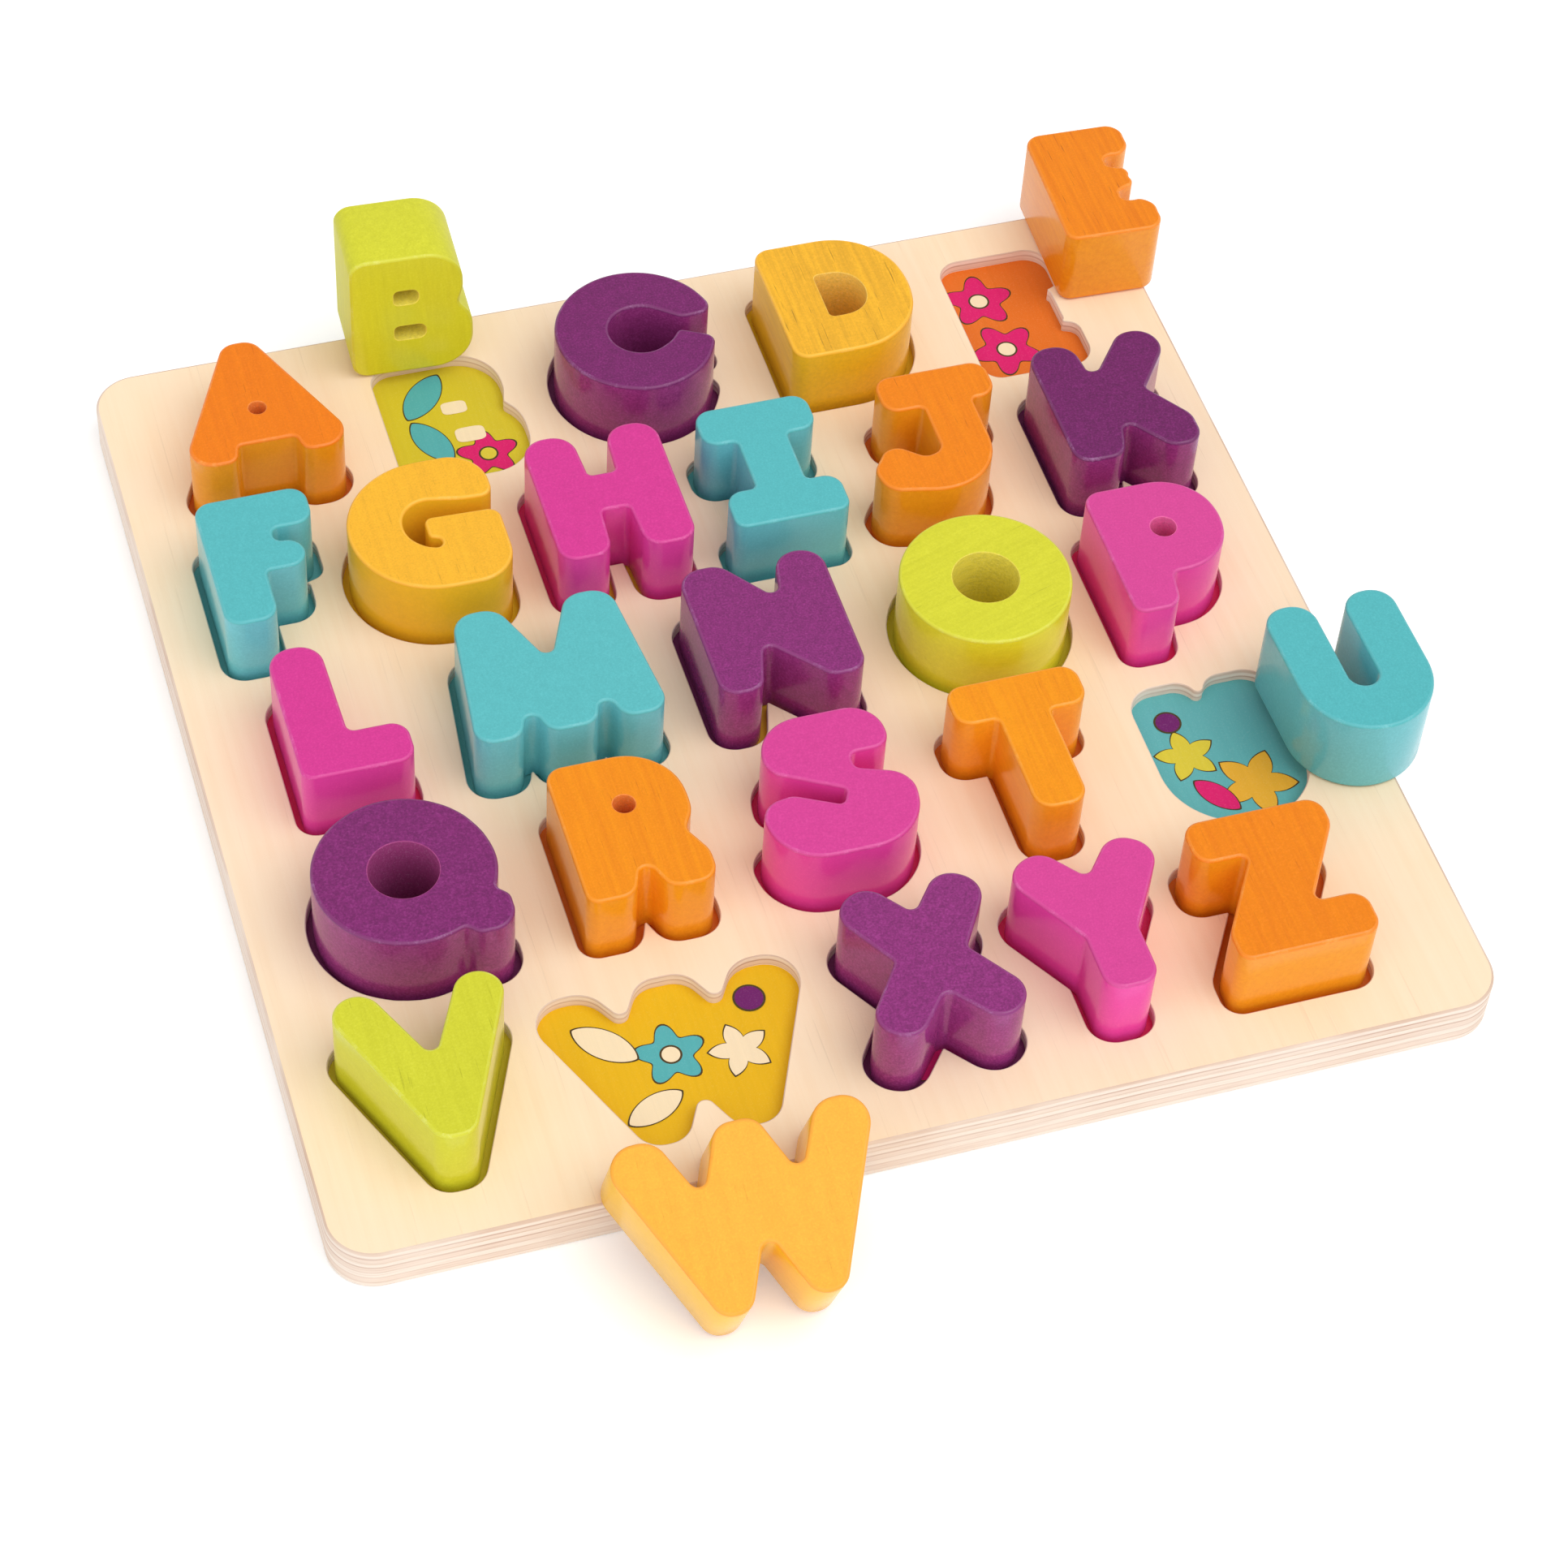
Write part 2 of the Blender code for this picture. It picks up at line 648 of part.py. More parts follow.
GLYPHS = {
    "A": letter_a, "B": letter_b, "C": letter_c, "D": letter_d, "E": letter_e, "F": letter_f, "G": letter_g,
    "H": letter_h, "I": letter_i, "J": letter_j, "K": letter_k, "L": letter_l, "M": letter_m, "N": letter_n,
    "O": letter_o, "P": letter_p, "Q": letter_q, "R": letter_r, "S": letter_s, "T": letter_t, "U": letter_u,
    "V": letter_v, "W": letter_w, "X": letter_x, "Y": letter_y, "Z": letter_z,
}


def side_directions(corners):
    """The direction of each side of an outline, from its corner to the next."""
    following = corners[1:] + corners[:1]
    return [Vector((b.x - a.x, b.y - a.y)).normalized() for a, b in zip(corners, following)]


def turn_between(before, after):
    """The angle from one direction to another, positive to the left."""
    return math.atan2(before.cross(after), before.dot(after))


def grown(corners, by):
    """An outline moved outwards: its outer corners get rounder and its inner corners tighter."""
    ahead = side_directions(corners)
    moved = []
    for i, corner in enumerate(corners):
        before, after = ahead[i - 1], ahead[i]
        out_before, out_after = Vector((before.y, -before.x)), Vector((after.y, -after.x))
        shift = (out_before + out_after) * by / (1 + out_before.dot(out_after))
        outer = turn_between(before, after) > 0
        radius = corner.radius + by if outer else max(corner.radius - by, SHARPEST)
        moved.append(Corner(corner.x + shift.x, corner.y + shift.y, radius))
    return moved


def rounded(corners):
    """The points of an outline, each corner rounded to its radius or to what its sides have room for."""
    count = len(corners)
    places = [Vector((corner.x, corner.y)) for corner in corners]
    ahead = side_directions(corners)
    turns = [turn_between(ahead[i - 1], ahead[i]) for i in range(count)]
    spans = [corner.radius * math.tan(abs(turn) / 2) for corner, turn in zip(corners, turns)]
    lengths = [(places[(i + 1) % count] - places[i]).length for i in range(count)]
    room = [min(1, lengths[i] / max(spans[i] + spans[(i + 1) % count], SAME_POINT)) for i in range(count)]
    points = []
    for i, corner in enumerate(corners):
        fit = min(room[i - 1], room[i])
        radius = max(corner.radius * fit, SAME_POINT)
        start = places[i] - ahead[i - 1] * spans[i] * fit
        inward = Vector((-ahead[i - 1].y, ahead[i - 1].x)) * math.copysign(radius, turns[i])
        facet = 2 * math.acos(max(1 - CHORD_ERROR / radius, 0.5))
        steps = max(1, math.ceil(abs(turns[i]) / facet))
        for step in range(steps + 1):
            arm = Matrix.Rotation(turns[i] * step / steps, 2) @ -inward
            point = start + inward + arm
            if not points or (point - points[-1]).length > SHORTEST_SIDE:
                points.append(point)
    if (points[0] - points[-1]).length <= SHORTEST_SIDE:
        points.pop()
    return points


def letter_outlines(letter):
    """The rounded outline of a letter and of its holes."""
    outline, holes = GLYPHS[letter]()
    kept = [corner for corner in outline if corner.cut != RECESS]
    return [rounded(kept)] + [rounded(hole) for hole in holes]


def recess_outline(letter):
    """The rounded outline of a letter's recess, which leaves out narrow slits and holes."""
    outline, _ = GLYPHS[letter]()
    kept = [corner for corner in outline if corner.cut != LETTER]
    return rounded(grown(kept, CLEARANCE))


def shared(free, wood):
    """Splits a free length in the given proportions."""
    return [free * share / sum(wood) for share in wood]


def letter_seats():
    """The seat of each letter on the board, as the middle of its base line."""
    row_depth = CAP + 2 * CLEARANCE
    webs = shared(BOARD_DEPTH - len(ROWS) * row_depth, ROW_WOOD)
    seats = {}
    back = BOARD_DEPTH / 2
    for row, web in zip(ROWS, webs):
        back -= web + row_depth
        sides = {letter: [point.x for point in recess_outline(letter)] for letter in row.letters}
        filled = sum(max(each) - min(each) for each in sides.values())
        left = -BOARD_WIDTH / 2
        for letter, gap in zip(row.letters, shared(BOARD_WIDTH - filled, row.wood)):
            left += gap
            seats[letter] = Vector((left - min(sides[letter]), back + CLEARANCE))
            left += max(sides[letter]) - min(sides[letter])
    return seats


def flat_curve(name, outlines, thickness, ease=0.0):
    """A curve object of closed outlines, filled and thickened about its own plane, with eased edges."""
    curve = bpy.data.curves.new(name, "CURVE")
    curve.dimensions = "2D"
    curve.fill_mode = "BOTH"
    curve.extrude = (thickness / 2 - ease) * MM
    curve.bevel_depth = ease * MM
    curve.bevel_resolution = 0
    curve.offset = -ease * MM
    for outline in outlines:
        spline = curve.splines.new("POLY")
        spline.points.add(len(outline) - 1)
        for slot, point in zip(spline.points, outline):
            slot.co = (point.x * MM, point.y * MM, 0, 1)
        spline.use_cyclic_u = True
    return bpy.data.objects.new(name, curve)


def as_mesh(curve_object, collection):
    """A mesh object that takes a curve object's place, with its caps welded and each flat face whole."""
    name, matrix = curve_object.name, curve_object.matrix_world.copy()
    collection.objects.link(curve_object)
    graph = bpy.context.evaluated_depsgraph_get()
    mesh = bpy.data.meshes.new_from_object(curve_object.evaluated_get(graph))
    bpy.data.objects.remove(curve_object)
    shape = bmesh.new()
    shape.from_mesh(mesh)
    bmesh.ops.remove_doubles(shape, verts=shape.verts, dist=SAME_POINT * MM)
    bmesh.ops.dissolve_limit(shape, angle_limit=math.radians(1), verts=shape.verts, edges=shape.edges)
    shape.to_mesh(mesh)
    shape.free()
    result = bpy.data.objects.new(name, mesh)
    result.matrix_world = matrix
    collection.objects.link(result)
    return result


def ease_rim(board_sheet, side):
    """Chamfers the outer edge of a sheet's top face or, with side -1, of its bottom face."""
    shape = bmesh.new()
    shape.from_mesh(board_sheet.data)
    face = max(shape.faces, key=lambda each: side * each.calc_center_median().z)
    bmesh.ops.bevel(
        shape, geom=list(face.edges), offset=BOARD_EASE * MM, offset_type="OFFSET", affect="EDGES",
        segments=1, profile=0.5, material=-1,
    )
    shape.to_mesh(board_sheet.data)
    shape.free()


def make_sheet(name, bottom, thickness, side, collection):
    """A rounded sheet of the board, eased along one rim."""
    outline = rounded(block(0, 0, BOARD_WIDTH, BOARD_DEPTH, BOARD_CORNER, BOARD_CORNER))
    sheet = as_mesh(flat_curve(name, [outline], thickness), collection)
    ease_rim(sheet, side)
    sheet.location.z = (bottom + thickness / 2) * MM
    return sheet


def cut_recesses(top_sheet, seats, cutters):
    """Cuts every letter's recess through the top sheet."""
    outlines = [[seats[letter] + point for point in recess_outline(letter)] for letter in GLYPHS]
    cutter = as_mesh(flat_curve("recess_cutter", outlines, TOP_THICKNESS + 2 * CUT_OVERRUN), cutters)
    cutter.location = top_sheet.location
    cutter.hide_render = True
    cutter.display_type = "WIRE"
    cut = top_sheet.modifiers.new("recesses", "BOOLEAN")
    cut.operation = "DIFFERENCE"
    cut.solver = "EXACT"
    cut.object = cutter


def make_letter(letter):
    """A letter lying about its own middle, face up."""
    middle = Vector((0, CAP / 2))
    outlines = [[point - middle for point in outline] for outline in letter_outlines(letter)]
    return flat_curve(f"letter_{letter.lower()}", outlines, LETTER_THICKNESS, EASE)


def seated(seat):
    """The place of a letter in its recess."""
    height = BASE_THICKNESS + SEAT_GAP + LETTER_THICKNESS / 2
    return Matrix.Translation((seat.x, seat.y + CAP / 2, height))


def lying(seat, shift, turn):
    """The place of a letter that lies on the board, moved and turned from its recess."""
    height = BASE_THICKNESS + GLUE_LINE + TOP_THICKNESS + SEAT_GAP + LETTER_THICKNESS / 2
    spot = Matrix.Translation((seat.x + shift.x, seat.y + CAP / 2 + shift.y, height))
    return spot @ Matrix.Rotation(math.radians(turn), 4, "Z")


def standing(seat):
    """The place of B, upright on the back rim with its face to the front."""
    height = BASE_THICKNESS + GLUE_LINE + TOP_THICKNESS + SEAT_GAP + CAP / 2
    front = BOARD_DEPTH / 2 - B_INSET
    spot = Matrix.Translation((seat.x + B_SHIFT, front + LETTER_THICKNESS / 2, height))
    return spot @ Euler((math.pi / 2, 0, math.radians(B_TURN))).to_matrix().to_4x4()


def leaning(seat):
    """The place of W, with its feet on the floor and its back on the board's front edge."""
    turned = Matrix.Rotation(math.radians(W_TURN), 4, "Z")
    turned @= Matrix.Rotation(math.radians(W_TILT), 4, "X")
    turned @= Matrix.Rotation(math.radians(W_ROLL), 4, "Z")
    back = [Vector((point.x, point.y - CAP / 2, -LETTER_THICKNESS / 2)) for point in letter_outlines("W")[0]]
    height = SEAT_GAP - min((turned @ point).z for point in back)
    face = turned.to_3x3() @ Vector((0, 0, 1))
    rim = Vector((W_WIDTH / 2, BOARD_EASE - BOARD_DEPTH / 2, BASE_THICKNESS + GLUE_LINE + TOP_THICKNESS))
    apart = LETTER_THICKNESS / 2 + SEAT_GAP + abs(face.x) * rim.x
    front = rim.y + (apart - face.z * (height - rim.z)) / face.y
    return Matrix.Translation((seat.x, front, height)) @ turned


def linear(colour):
    """A colour given as 8-bit sRGB, in linear light."""
    shares = [level / 255 for level in colour]
    return [s / 12.92 if s <= 0.04045 else ((s + 0.055) / 1.055) ** 2.4 for s in shares] + [1]


def make_material(name, colour, roughness):
    """A plain Principled material."""
    material = bpy.data.materials.new(name)
    material.use_nodes = True
    shader = material.node_tree.nodes["Principled BSDF"]
    shader.inputs["Base Color"].default_value = linear(colour)
    shader.inputs["Roughness"].default_value = roughness
    shader.inputs["Metallic"].default_value = 0
    return material


def letter_places(seats):
    """The matrix of every letter, in millimetres."""
    places = {letter: seated(seat) for letter, seat in seats.items()}
    places["B"] = standing(seats["B"])
    places["E"] = lying(seats["E"], E_SHIFT, E_TURN)
    places["U"] = lying(seats["U"], U_SHIFT, U_TURN)
    places["W"] = leaning(seats["W"])
    return places


def new_collection(name):
    """A collection in the scene."""
    collection = bpy.data.collections.new(name)
    bpy.context.scene.collection.children.link(collection)
    return collection


def main():
    """Builds the board and the letters."""
    for stray in list(bpy.data.objects):
        bpy.data.objects.remove(stray, do_unlink=True)
    parts = new_collection("alphabet_puzzle")
    cutters = new_collection("cutters")
    seats = letter_seats()
    origin = bpy.data.objects.new("board_middle", None)
    parts.objects.link(origin)

    top_bottom = BASE_THICKNESS + GLUE_LINE
    base = make_sheet("base_sheet", 0, BASE_THICKNESS, -1, parts)
    top = make_sheet("recess_sheet", top_bottom, TOP_THICKNESS, 1, parts)
    cut_recesses(top, seats, cutters)
    for sheet in (base, top):
        sheet.parent = origin
        sheet.data.materials.append(make_material(f"birch_{sheet.name}", BIRCH, BIRCH_ROUGHNESS))

    places = letter_places(seats)
    for paint, (letters, colour) in PAINTS.items():
        material = make_material(f"paint_{paint}", colour, PAINT_ROUGHNESS)
        for letter in letters:
            piece = make_letter(letter)
            parts.objects.link(piece)
            place = places[letter]
            piece.location = place.to_translation() * MM
            piece.rotation_euler = place.to_euler()
            piece.parent = origin
            piece.data.materials.append(material)


main()
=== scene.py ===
"""Looks of the wooden alphabet puzzle: painted letters, a birch board with printed recesses, a white studio.

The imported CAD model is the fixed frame. Each letter and sheet is read back from its CAD solid as a flat
outline, made smooth, and raised again with a finely rounded edge, so that it stays where the solid is.
"""

import logging
import math
from collections.abc import Iterable, Sequence
from dataclasses import dataclass
from enum import Enum
from string import ascii_lowercase

import bmesh
import bpy
import numpy as np
from bmesh.types import BMEdge, BMesh, BMFace, BMVert
from bpy.types import Material, Node, NodeOutputs, NodeSocket, NodeTree, Object
from mathutils import Matrix, Vector

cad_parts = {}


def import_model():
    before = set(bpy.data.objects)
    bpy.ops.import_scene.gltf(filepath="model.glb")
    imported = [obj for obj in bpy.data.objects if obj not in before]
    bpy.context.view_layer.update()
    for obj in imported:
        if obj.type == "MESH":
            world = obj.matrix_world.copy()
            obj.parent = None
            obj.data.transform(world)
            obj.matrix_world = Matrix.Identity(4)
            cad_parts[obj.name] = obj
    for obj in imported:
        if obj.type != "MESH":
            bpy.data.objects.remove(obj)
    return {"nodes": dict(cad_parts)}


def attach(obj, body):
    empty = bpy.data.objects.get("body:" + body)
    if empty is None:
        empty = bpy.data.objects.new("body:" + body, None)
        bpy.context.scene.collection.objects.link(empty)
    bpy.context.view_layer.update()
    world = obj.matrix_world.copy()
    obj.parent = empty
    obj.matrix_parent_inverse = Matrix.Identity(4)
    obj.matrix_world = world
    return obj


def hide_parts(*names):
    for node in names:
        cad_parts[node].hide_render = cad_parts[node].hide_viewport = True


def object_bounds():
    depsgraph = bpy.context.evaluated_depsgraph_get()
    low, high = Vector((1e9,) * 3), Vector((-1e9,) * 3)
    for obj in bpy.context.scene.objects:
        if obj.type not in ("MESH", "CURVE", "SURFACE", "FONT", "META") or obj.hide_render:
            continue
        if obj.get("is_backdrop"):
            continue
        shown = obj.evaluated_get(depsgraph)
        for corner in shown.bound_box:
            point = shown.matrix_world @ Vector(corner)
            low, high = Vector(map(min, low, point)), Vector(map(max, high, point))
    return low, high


LOG = logging.getLogger("alphabet_puzzle")

MM = 0.001
QUARTER_TURN = math.pi / 2
GRAIN_PLACE = "grain_place"
LETTER_MAKE = "letter_make"
PLACE_LAYER = "outline_place"
ROW_COUNTS = (5, 6, 5, 5, 5)

# Reading the CAD solids
MERGE_GAP = 0.002 * MM
WALL_SLOPE = 0.05
RIM_SLOPE = 0.3
SAME_FACING = 0.9995

# Smoothing the outlines
LONG_SIDE = 6.0 * MM
MOST_LONG_SIDES = 3.0
STRAIGHT_WEIGHT = 0.3
LEAST_WEIGHT = 0.01
MOST_SIDE_TURN = math.radians(60)
FINE_SAG = 0.012 * MM
LEAST_SPREAD = 0.5

# Printed shapes
LEAF_WIDTH = 0.46
LEAF_TAPER = 0.45
PATCH_DEPTH = 0.66
PATCH_POWER = 4
PETALS = 5
PETAL_DEPTH = 0.2
STAR_NOTCH = 0.52
MOTIF_CORNERS = 80
LAYER_RISE = 0.012 * MM

# Finishes
LETTER_STEP = 137.0
FACE_GLOSS = 0.22
WALL_GLOSS = 0.46
LIGHT_WEAR = 0.5
BUMP_STRENGTH = 0.6
WHOLE = (0.0, 1.0)
NOISE_LIMITS = (0.3, 0.7)
RUB_COARSE_SHARE = 0.55
RUB_START = 0.78
RUB_GAIN = 0.56
RUB_SOFTNESS = 0.2
MIX_FIRST, MIX_SECOND, MIX_RESULT = 6, 7, 2  # a Mix node's sockets for colours
SCALE_FACTOR = 3  # a Vector Math node's socket for the factor


class Paint(Enum):
    """The record's six paint slots."""

    ORANGE = "paint_orange"
    LIME = "paint_lime"
    PURPLE = "paint_purple"
    YELLOW = "paint_yellow"
    TEAL = "paint_teal"
    MAGENTA = "paint_magenta"


class Zone(Enum):
    """The material slots of a raised piece, by where a face lies on it."""

    FACE = 0
    WALL = 1
    EDGE = 2
    BORE = 3


class Facing(Enum):
    """Which way a letter's front face points, roughly."""

    UP = (0.0, 0.0, 1.0)
    FORWARD = (0.0, -1.0, 0.0)
    LEANING = (0.0, -0.37, 0.93)


class MotifShape(Enum):
    """The plain printed shapes."""

    DOT = "dot"
    LEAF = "leaf"
    FLOWER = "flower"
    STAR = "star"
    PATCH = "patch"

    def point(self, across: float, along: float) -> tuple[float, float]:
        """Moves a point of the unit circle onto this shape.

        Args:
            across: The point's first coordinate on the circle.
            along: The point's second coordinate on the circle.

        Returns:
            The same point on the shape.
        """
        turn = math.atan2(along, across)
        if self is MotifShape.LEAF:
            return across, LEAF_WIDTH * along * abs(along) ** LEAF_TAPER
        if self is MotifShape.PATCH:
            square = (across**PATCH_POWER + along**PATCH_POWER) ** (-1 / PATCH_POWER)
            return across * square, PATCH_DEPTH * along * square
        if self is MotifShape.FLOWER:
            reach = 1.0 - PETAL_DEPTH + PETAL_DEPTH * math.cos(PETALS * turn)
        elif self is MotifShape.STAR:
            share = (PETALS * turn / math.tau) % 1.0
            reach = 1.0 - STAR_NOTCH * (1.0 - abs(2.0 * share - 1.0))
        else:
            reach = 1.0
        return across * reach, along * reach


@dataclass(frozen=True)
class Tone:
    """A colour as it is seen, in sRGB from 0 to 255."""

    red: int
    green: int
    blue: int

    def linear(self) -> tuple[float, float, float, float]:
        """Works out the colour as a shader takes it, by the sRGB standard's curve.

        Returns:
            Its red, green, blue and alpha, from 0 to 1.
        """
        shares = [value / 255 for value in (self.red, self.green, self.blue)]
        curve = [s / 12.92 if s <= 0.04045 else ((s + 0.055) / 1.055) ** 2.4 for s in shares]
        return (*curve, 1.0)

    def towards(self, other: "Tone", share: float) -> "Tone":
        """Mixes this tone with another.

        Args:
            other: The tone to move to.
            share: How far to move, from 0 to 1.

        Returns:
            The tone between the two.
        """
        pairs = ((self.red, other.red), (self.green, other.green), (self.blue, other.blue))
        return Tone(*(round(a + (b - a) * share) for a, b in pairs))


WHITE = Tone(255, 255, 255)
BLACK = Tone(0, 0, 0)


class Ink(Enum):
    """The inks of the printed motifs."""

    LINE = Tone(74, 58, 28)
    TEAL = Tone(86, 178, 182)
    MAGENTA = Tone(222, 26, 110)
    CREAM = Tone(250, 230, 192)
    YELLOW = Tone(222, 204, 60)
    GOLD = Tone(236, 178, 52)
    PLUM = Tone(110, 28, 104)


@dataclass(frozen=True)
class Pattern:
    """A noise, finer by its scale per millimetre, and the part of its range that is used."""

    scale: float
    detail: float
    roughness: float = 0.55
    limits: tuple[float, float] = NOISE_LIMITS


STREAKS = Pattern(scale=1.0, detail=6.0, roughness=0.66, limits=(0.36, 0.68))
PORES = Pattern(scale=3.4, detail=2.0, roughness=0.5, limits=(0.66, 0.76))
CLOUDS = Pattern(scale=0.045, detail=2.0)
PEBBLES = Pattern(scale=1.0, detail=2.0, roughness=0.6, limits=(0.55, 0.72))
RUB_COARSE = Pattern(scale=0.22, detail=3.0)
RUB_FINE = Pattern(scale=1.9, detail=3.0, roughness=0.7)
COAT_PATCHES = Pattern(scale=0.4, detail=4.0, roughness=0.7)
WALL_SHEEN = Pattern(scale=0.1, detail=2.0)
PLY_SWAY = Pattern(scale=0.012, detail=2.0)
PLY_FADE = Pattern(scale=0.028, detail=2.0, limits=(0.35, 0.7))
PLY_FIBRE = Pattern(scale=1.0, detail=4.0, roughness=0.6, limits=(0.5, 0.75))


@dataclass(frozen=True)
class SurfaceMake:
    """How a surface is worked: its roughness, its bump and pebble in millimetres, and its grain."""

    roughness: tuple[float, float]
    bump: float
    pebble: float = 0.0
    fineness: float = 0.0
    shortness: float = 0.0


COAT_FACE = SurfaceMake((0.4, 0.52), bump=0.09, pebble=0.55, fineness=0.7, shortness=0.04)
COAT_WALL = SurfaceMake((0.17, 0.22), bump=0.01, pebble=0.6, fineness=0.8, shortness=0.08)
COAT_EDGE = SurfaceMake((0.34, 0.5), bump=0.08, pebble=0.4)
COAT_BORE = SurfaceMake((0.55, 0.7), bump=0.15, pebble=0.5, fineness=1.3, shortness=0.1)
SANDED_FACE = SurfaceMake((0.46, 0.58), bump=0.05, pebble=0.6, fineness=0.35, shortness=0.02)
SANDED_EDGE = SurfaceMake((0.55, 0.68), bump=0.06)
PRINTED_FLOOR = SurfaceMake((0.5, 0.62), bump=0.04, pebble=0.4, fineness=0.8, shortness=0.03)


class NodeSheet:
    """A node tree with short calls to add and link nodes."""

    def __init__(self, tree: NodeTree) -> None:
        """Keeps the tree that the calls add to."""
        self.tree = tree

    def fill(self, node: Node, inputs: dict) -> None:
        """Gives a node's inputs what they take.

        Args:
            node: The node.
            inputs: What each input takes: a socket to link, a tone or a value.
        """
        for key, value in inputs.items():
            if isinstance(value, NodeSocket):
                self.tree.links.new(value, node.inputs[key])
            else:
                node.inputs[key].default_value = value.linear() if isinstance(value, Tone) else value

    def add(self, kind: str, inputs: dict | None = None, **settings: object) -> Node:
        """Adds a node.

        Args:
            kind: The node's type.
            inputs: What each input takes, as in fill.
            settings: The node's own properties.

        Returns:
            The new node.
        """
        node = self.tree.nodes.new(kind)
        for name, value in settings.items():
            setattr(node, name, value)
        self.fill(node, inputs or {})
        return node

    def math(self, operation: str, first: object, second: object, third: float = 0.0) -> NodeSocket:
        """Adds one step of arithmetic and returns its result."""
        return self.add("ShaderNodeMath", {0: first, 1: second, 2: third}, operation=operation).outputs[0]

    def vector(self, operation: str, first: object, second: object) -> NodeSocket:
        """Adds one step of vector arithmetic and returns its result."""
        return self.add("ShaderNodeVectorMath", {0: first, 1: second}, operation=operation).outputs[0]

    def scaled(self, colour: object, factor: object) -> NodeSocket:
        """Adds a colour made lighter or darker by a factor and returns its result."""
        inputs = {0: colour, SCALE_FACTOR: factor}
        return self.add("ShaderNodeVectorMath", inputs, operation="SCALE").outputs[0]

    def mix(self, share: object, first: object, second: object) -> NodeSocket:
        """Adds a mix of two colours and returns its result."""
        inputs = {0: share, MIX_FIRST: first, MIX_SECOND: second}
        return self.add("ShaderNodeMix", inputs, data_type="RGBA").outputs[MIX_RESULT]

    def tint(self, colour: object, mask: object, share: object, tone: Tone) -> NodeSocket:
        """Moves a colour towards a tone, by a share of a mask, and returns its result."""
        return self.mix(self.math("MULTIPLY", mask, share), colour, tone)

    def span(self, value: object, limits: Sequence, ends: Sequence = WHOLE) -> NodeSocket:
        """Maps a value from its limits to new ends, held there, and returns its result."""
        return self.add("ShaderNodeMapRange", dict(enumerate((value, *limits, *ends)))).outputs[0]

    def noise(self, pattern: Pattern, place: object, scale: NodeSocket | None = None) -> NodeSocket:
        """Adds a noise texture.

        Args:
            pattern: How fine, layered and rough it is.
            place: The point that it is read at, in millimetres.
            scale: A socket that stands for the pattern's own scale, or none.

        Returns:
            Its value, mostly within NOISE_LIMITS.
        """
        inputs = {"Vector": place, "Scale": pattern.scale if scale is None else scale}
        inputs |= {"Detail": pattern.detail, "Roughness": pattern.roughness}
        return self.add("ShaderNodeTexNoise", inputs).outputs[0]

    def mapped(self, pattern: Pattern, place: object, ends: Sequence = WHOLE) -> NodeSocket:
        """Adds a noise whose limits are mapped to new ends and returns its result."""
        return self.span(self.noise(pattern, place), pattern.limits, ends)


class SurfaceGroups:
    """The effects that several finishes share, each one node group."""

    def __init__(self) -> None:
        """Builds each group once."""
        self.grain = self._grain()
        self.pebble = self._pebble()
        self.rub = self._rub()

    @staticmethod
    def _open(name: str, inputs: Sequence[str], outputs: Sequence[str]) -> tuple[NodeSheet, NodeOutputs]:
        """Starts a group that reads its effect at a place.

        Args:
            name: The group's name.
            inputs: The name of each input besides the place; all are plain values.
            outputs: The name of each output; all are plain values.

        Returns:
            The group's sheet, and what its inputs bring.
        """
        tree = bpy.data.node_groups.new(name, "ShaderNodeTree")
        tree.interface.new_socket("Place", in_out="INPUT", socket_type="NodeSocketVector")
        for way, labels in (("INPUT", inputs), ("OUTPUT", outputs)):
            for label in labels:
                tree.interface.new_socket(label, in_out=way, socket_type="NodeSocketFloat")
        sheet = NodeSheet(tree)
        return sheet, sheet.add("NodeGroupInput").outputs

    def _grain(self) -> NodeTree:
        """Builds long streaks that run along the second coordinate, with slow clouds under them.

        Returns:
            The group.
        """
        sheet, given = self._open("wood_grain", ("Fineness", "Shortness"), ("Streak", "Cloud", "Pore"))
        place, across = given["Place"], given["Fineness"]
        along = sheet.math("MULTIPLY", across, given["Shortness"])
        stretch = sheet.add("ShaderNodeCombineXYZ", {"X": across, "Y": along, "Z": across}).outputs[0]
        stretched = sheet.vector("MULTIPLY", place, stretch)
        made = {"Streak": sheet.mapped(STREAKS, stretched), "Pore": sheet.mapped(PORES, stretched)}
        made["Cloud"] = sheet.mapped(CLOUDS, place)
        sheet.add("NodeGroupOutput", made)
        return sheet.tree

    def _pebble(self) -> NodeTree:
        """Builds the fine orange peel of sprayed paint, with flecks where it stands high, painted as glints
        on the letters.

        Returns:
            The group.
        """
        sheet, given = self._open("satin_pebble", ("Size",), ("Height", "FleckAndGlint"))
        scale = sheet.math("DIVIDE", PEBBLES.scale, given["Size"])
        height = sheet.noise(PEBBLES, given["Place"], scale)
        sheet.add("NodeGroupOutput", {"Height": height, "FleckAndGlint": sheet.span(height, PEBBLES.limits)})
        return sheet.tree

    def _rub(self) -> NodeTree:
        """Builds the broken mask of an edge that hands have rubbed.

        Returns:
            The group.
        """
        sheet, given = self._open("rubbed_edge", ("Amount",), ("Mask",))
        place = given["Place"]
        coarse = sheet.math("MULTIPLY", sheet.noise(RUB_COARSE, place), RUB_COARSE_SHARE)
        fine = sheet.math("MULTIPLY", sheet.noise(RUB_FINE, place), 1.0 - RUB_COARSE_SHARE)
        low = sheet.math("SUBTRACT", RUB_START, sheet.math("MULTIPLY", given["Amount"], RUB_GAIN))
        high = sheet.math("ADD", low, RUB_SOFTNESS)
        sheet.add("NodeGroupOutput", {"Mask": sheet.span(sheet.math("ADD", coarse, fine), (low, high))})
        return sheet.tree


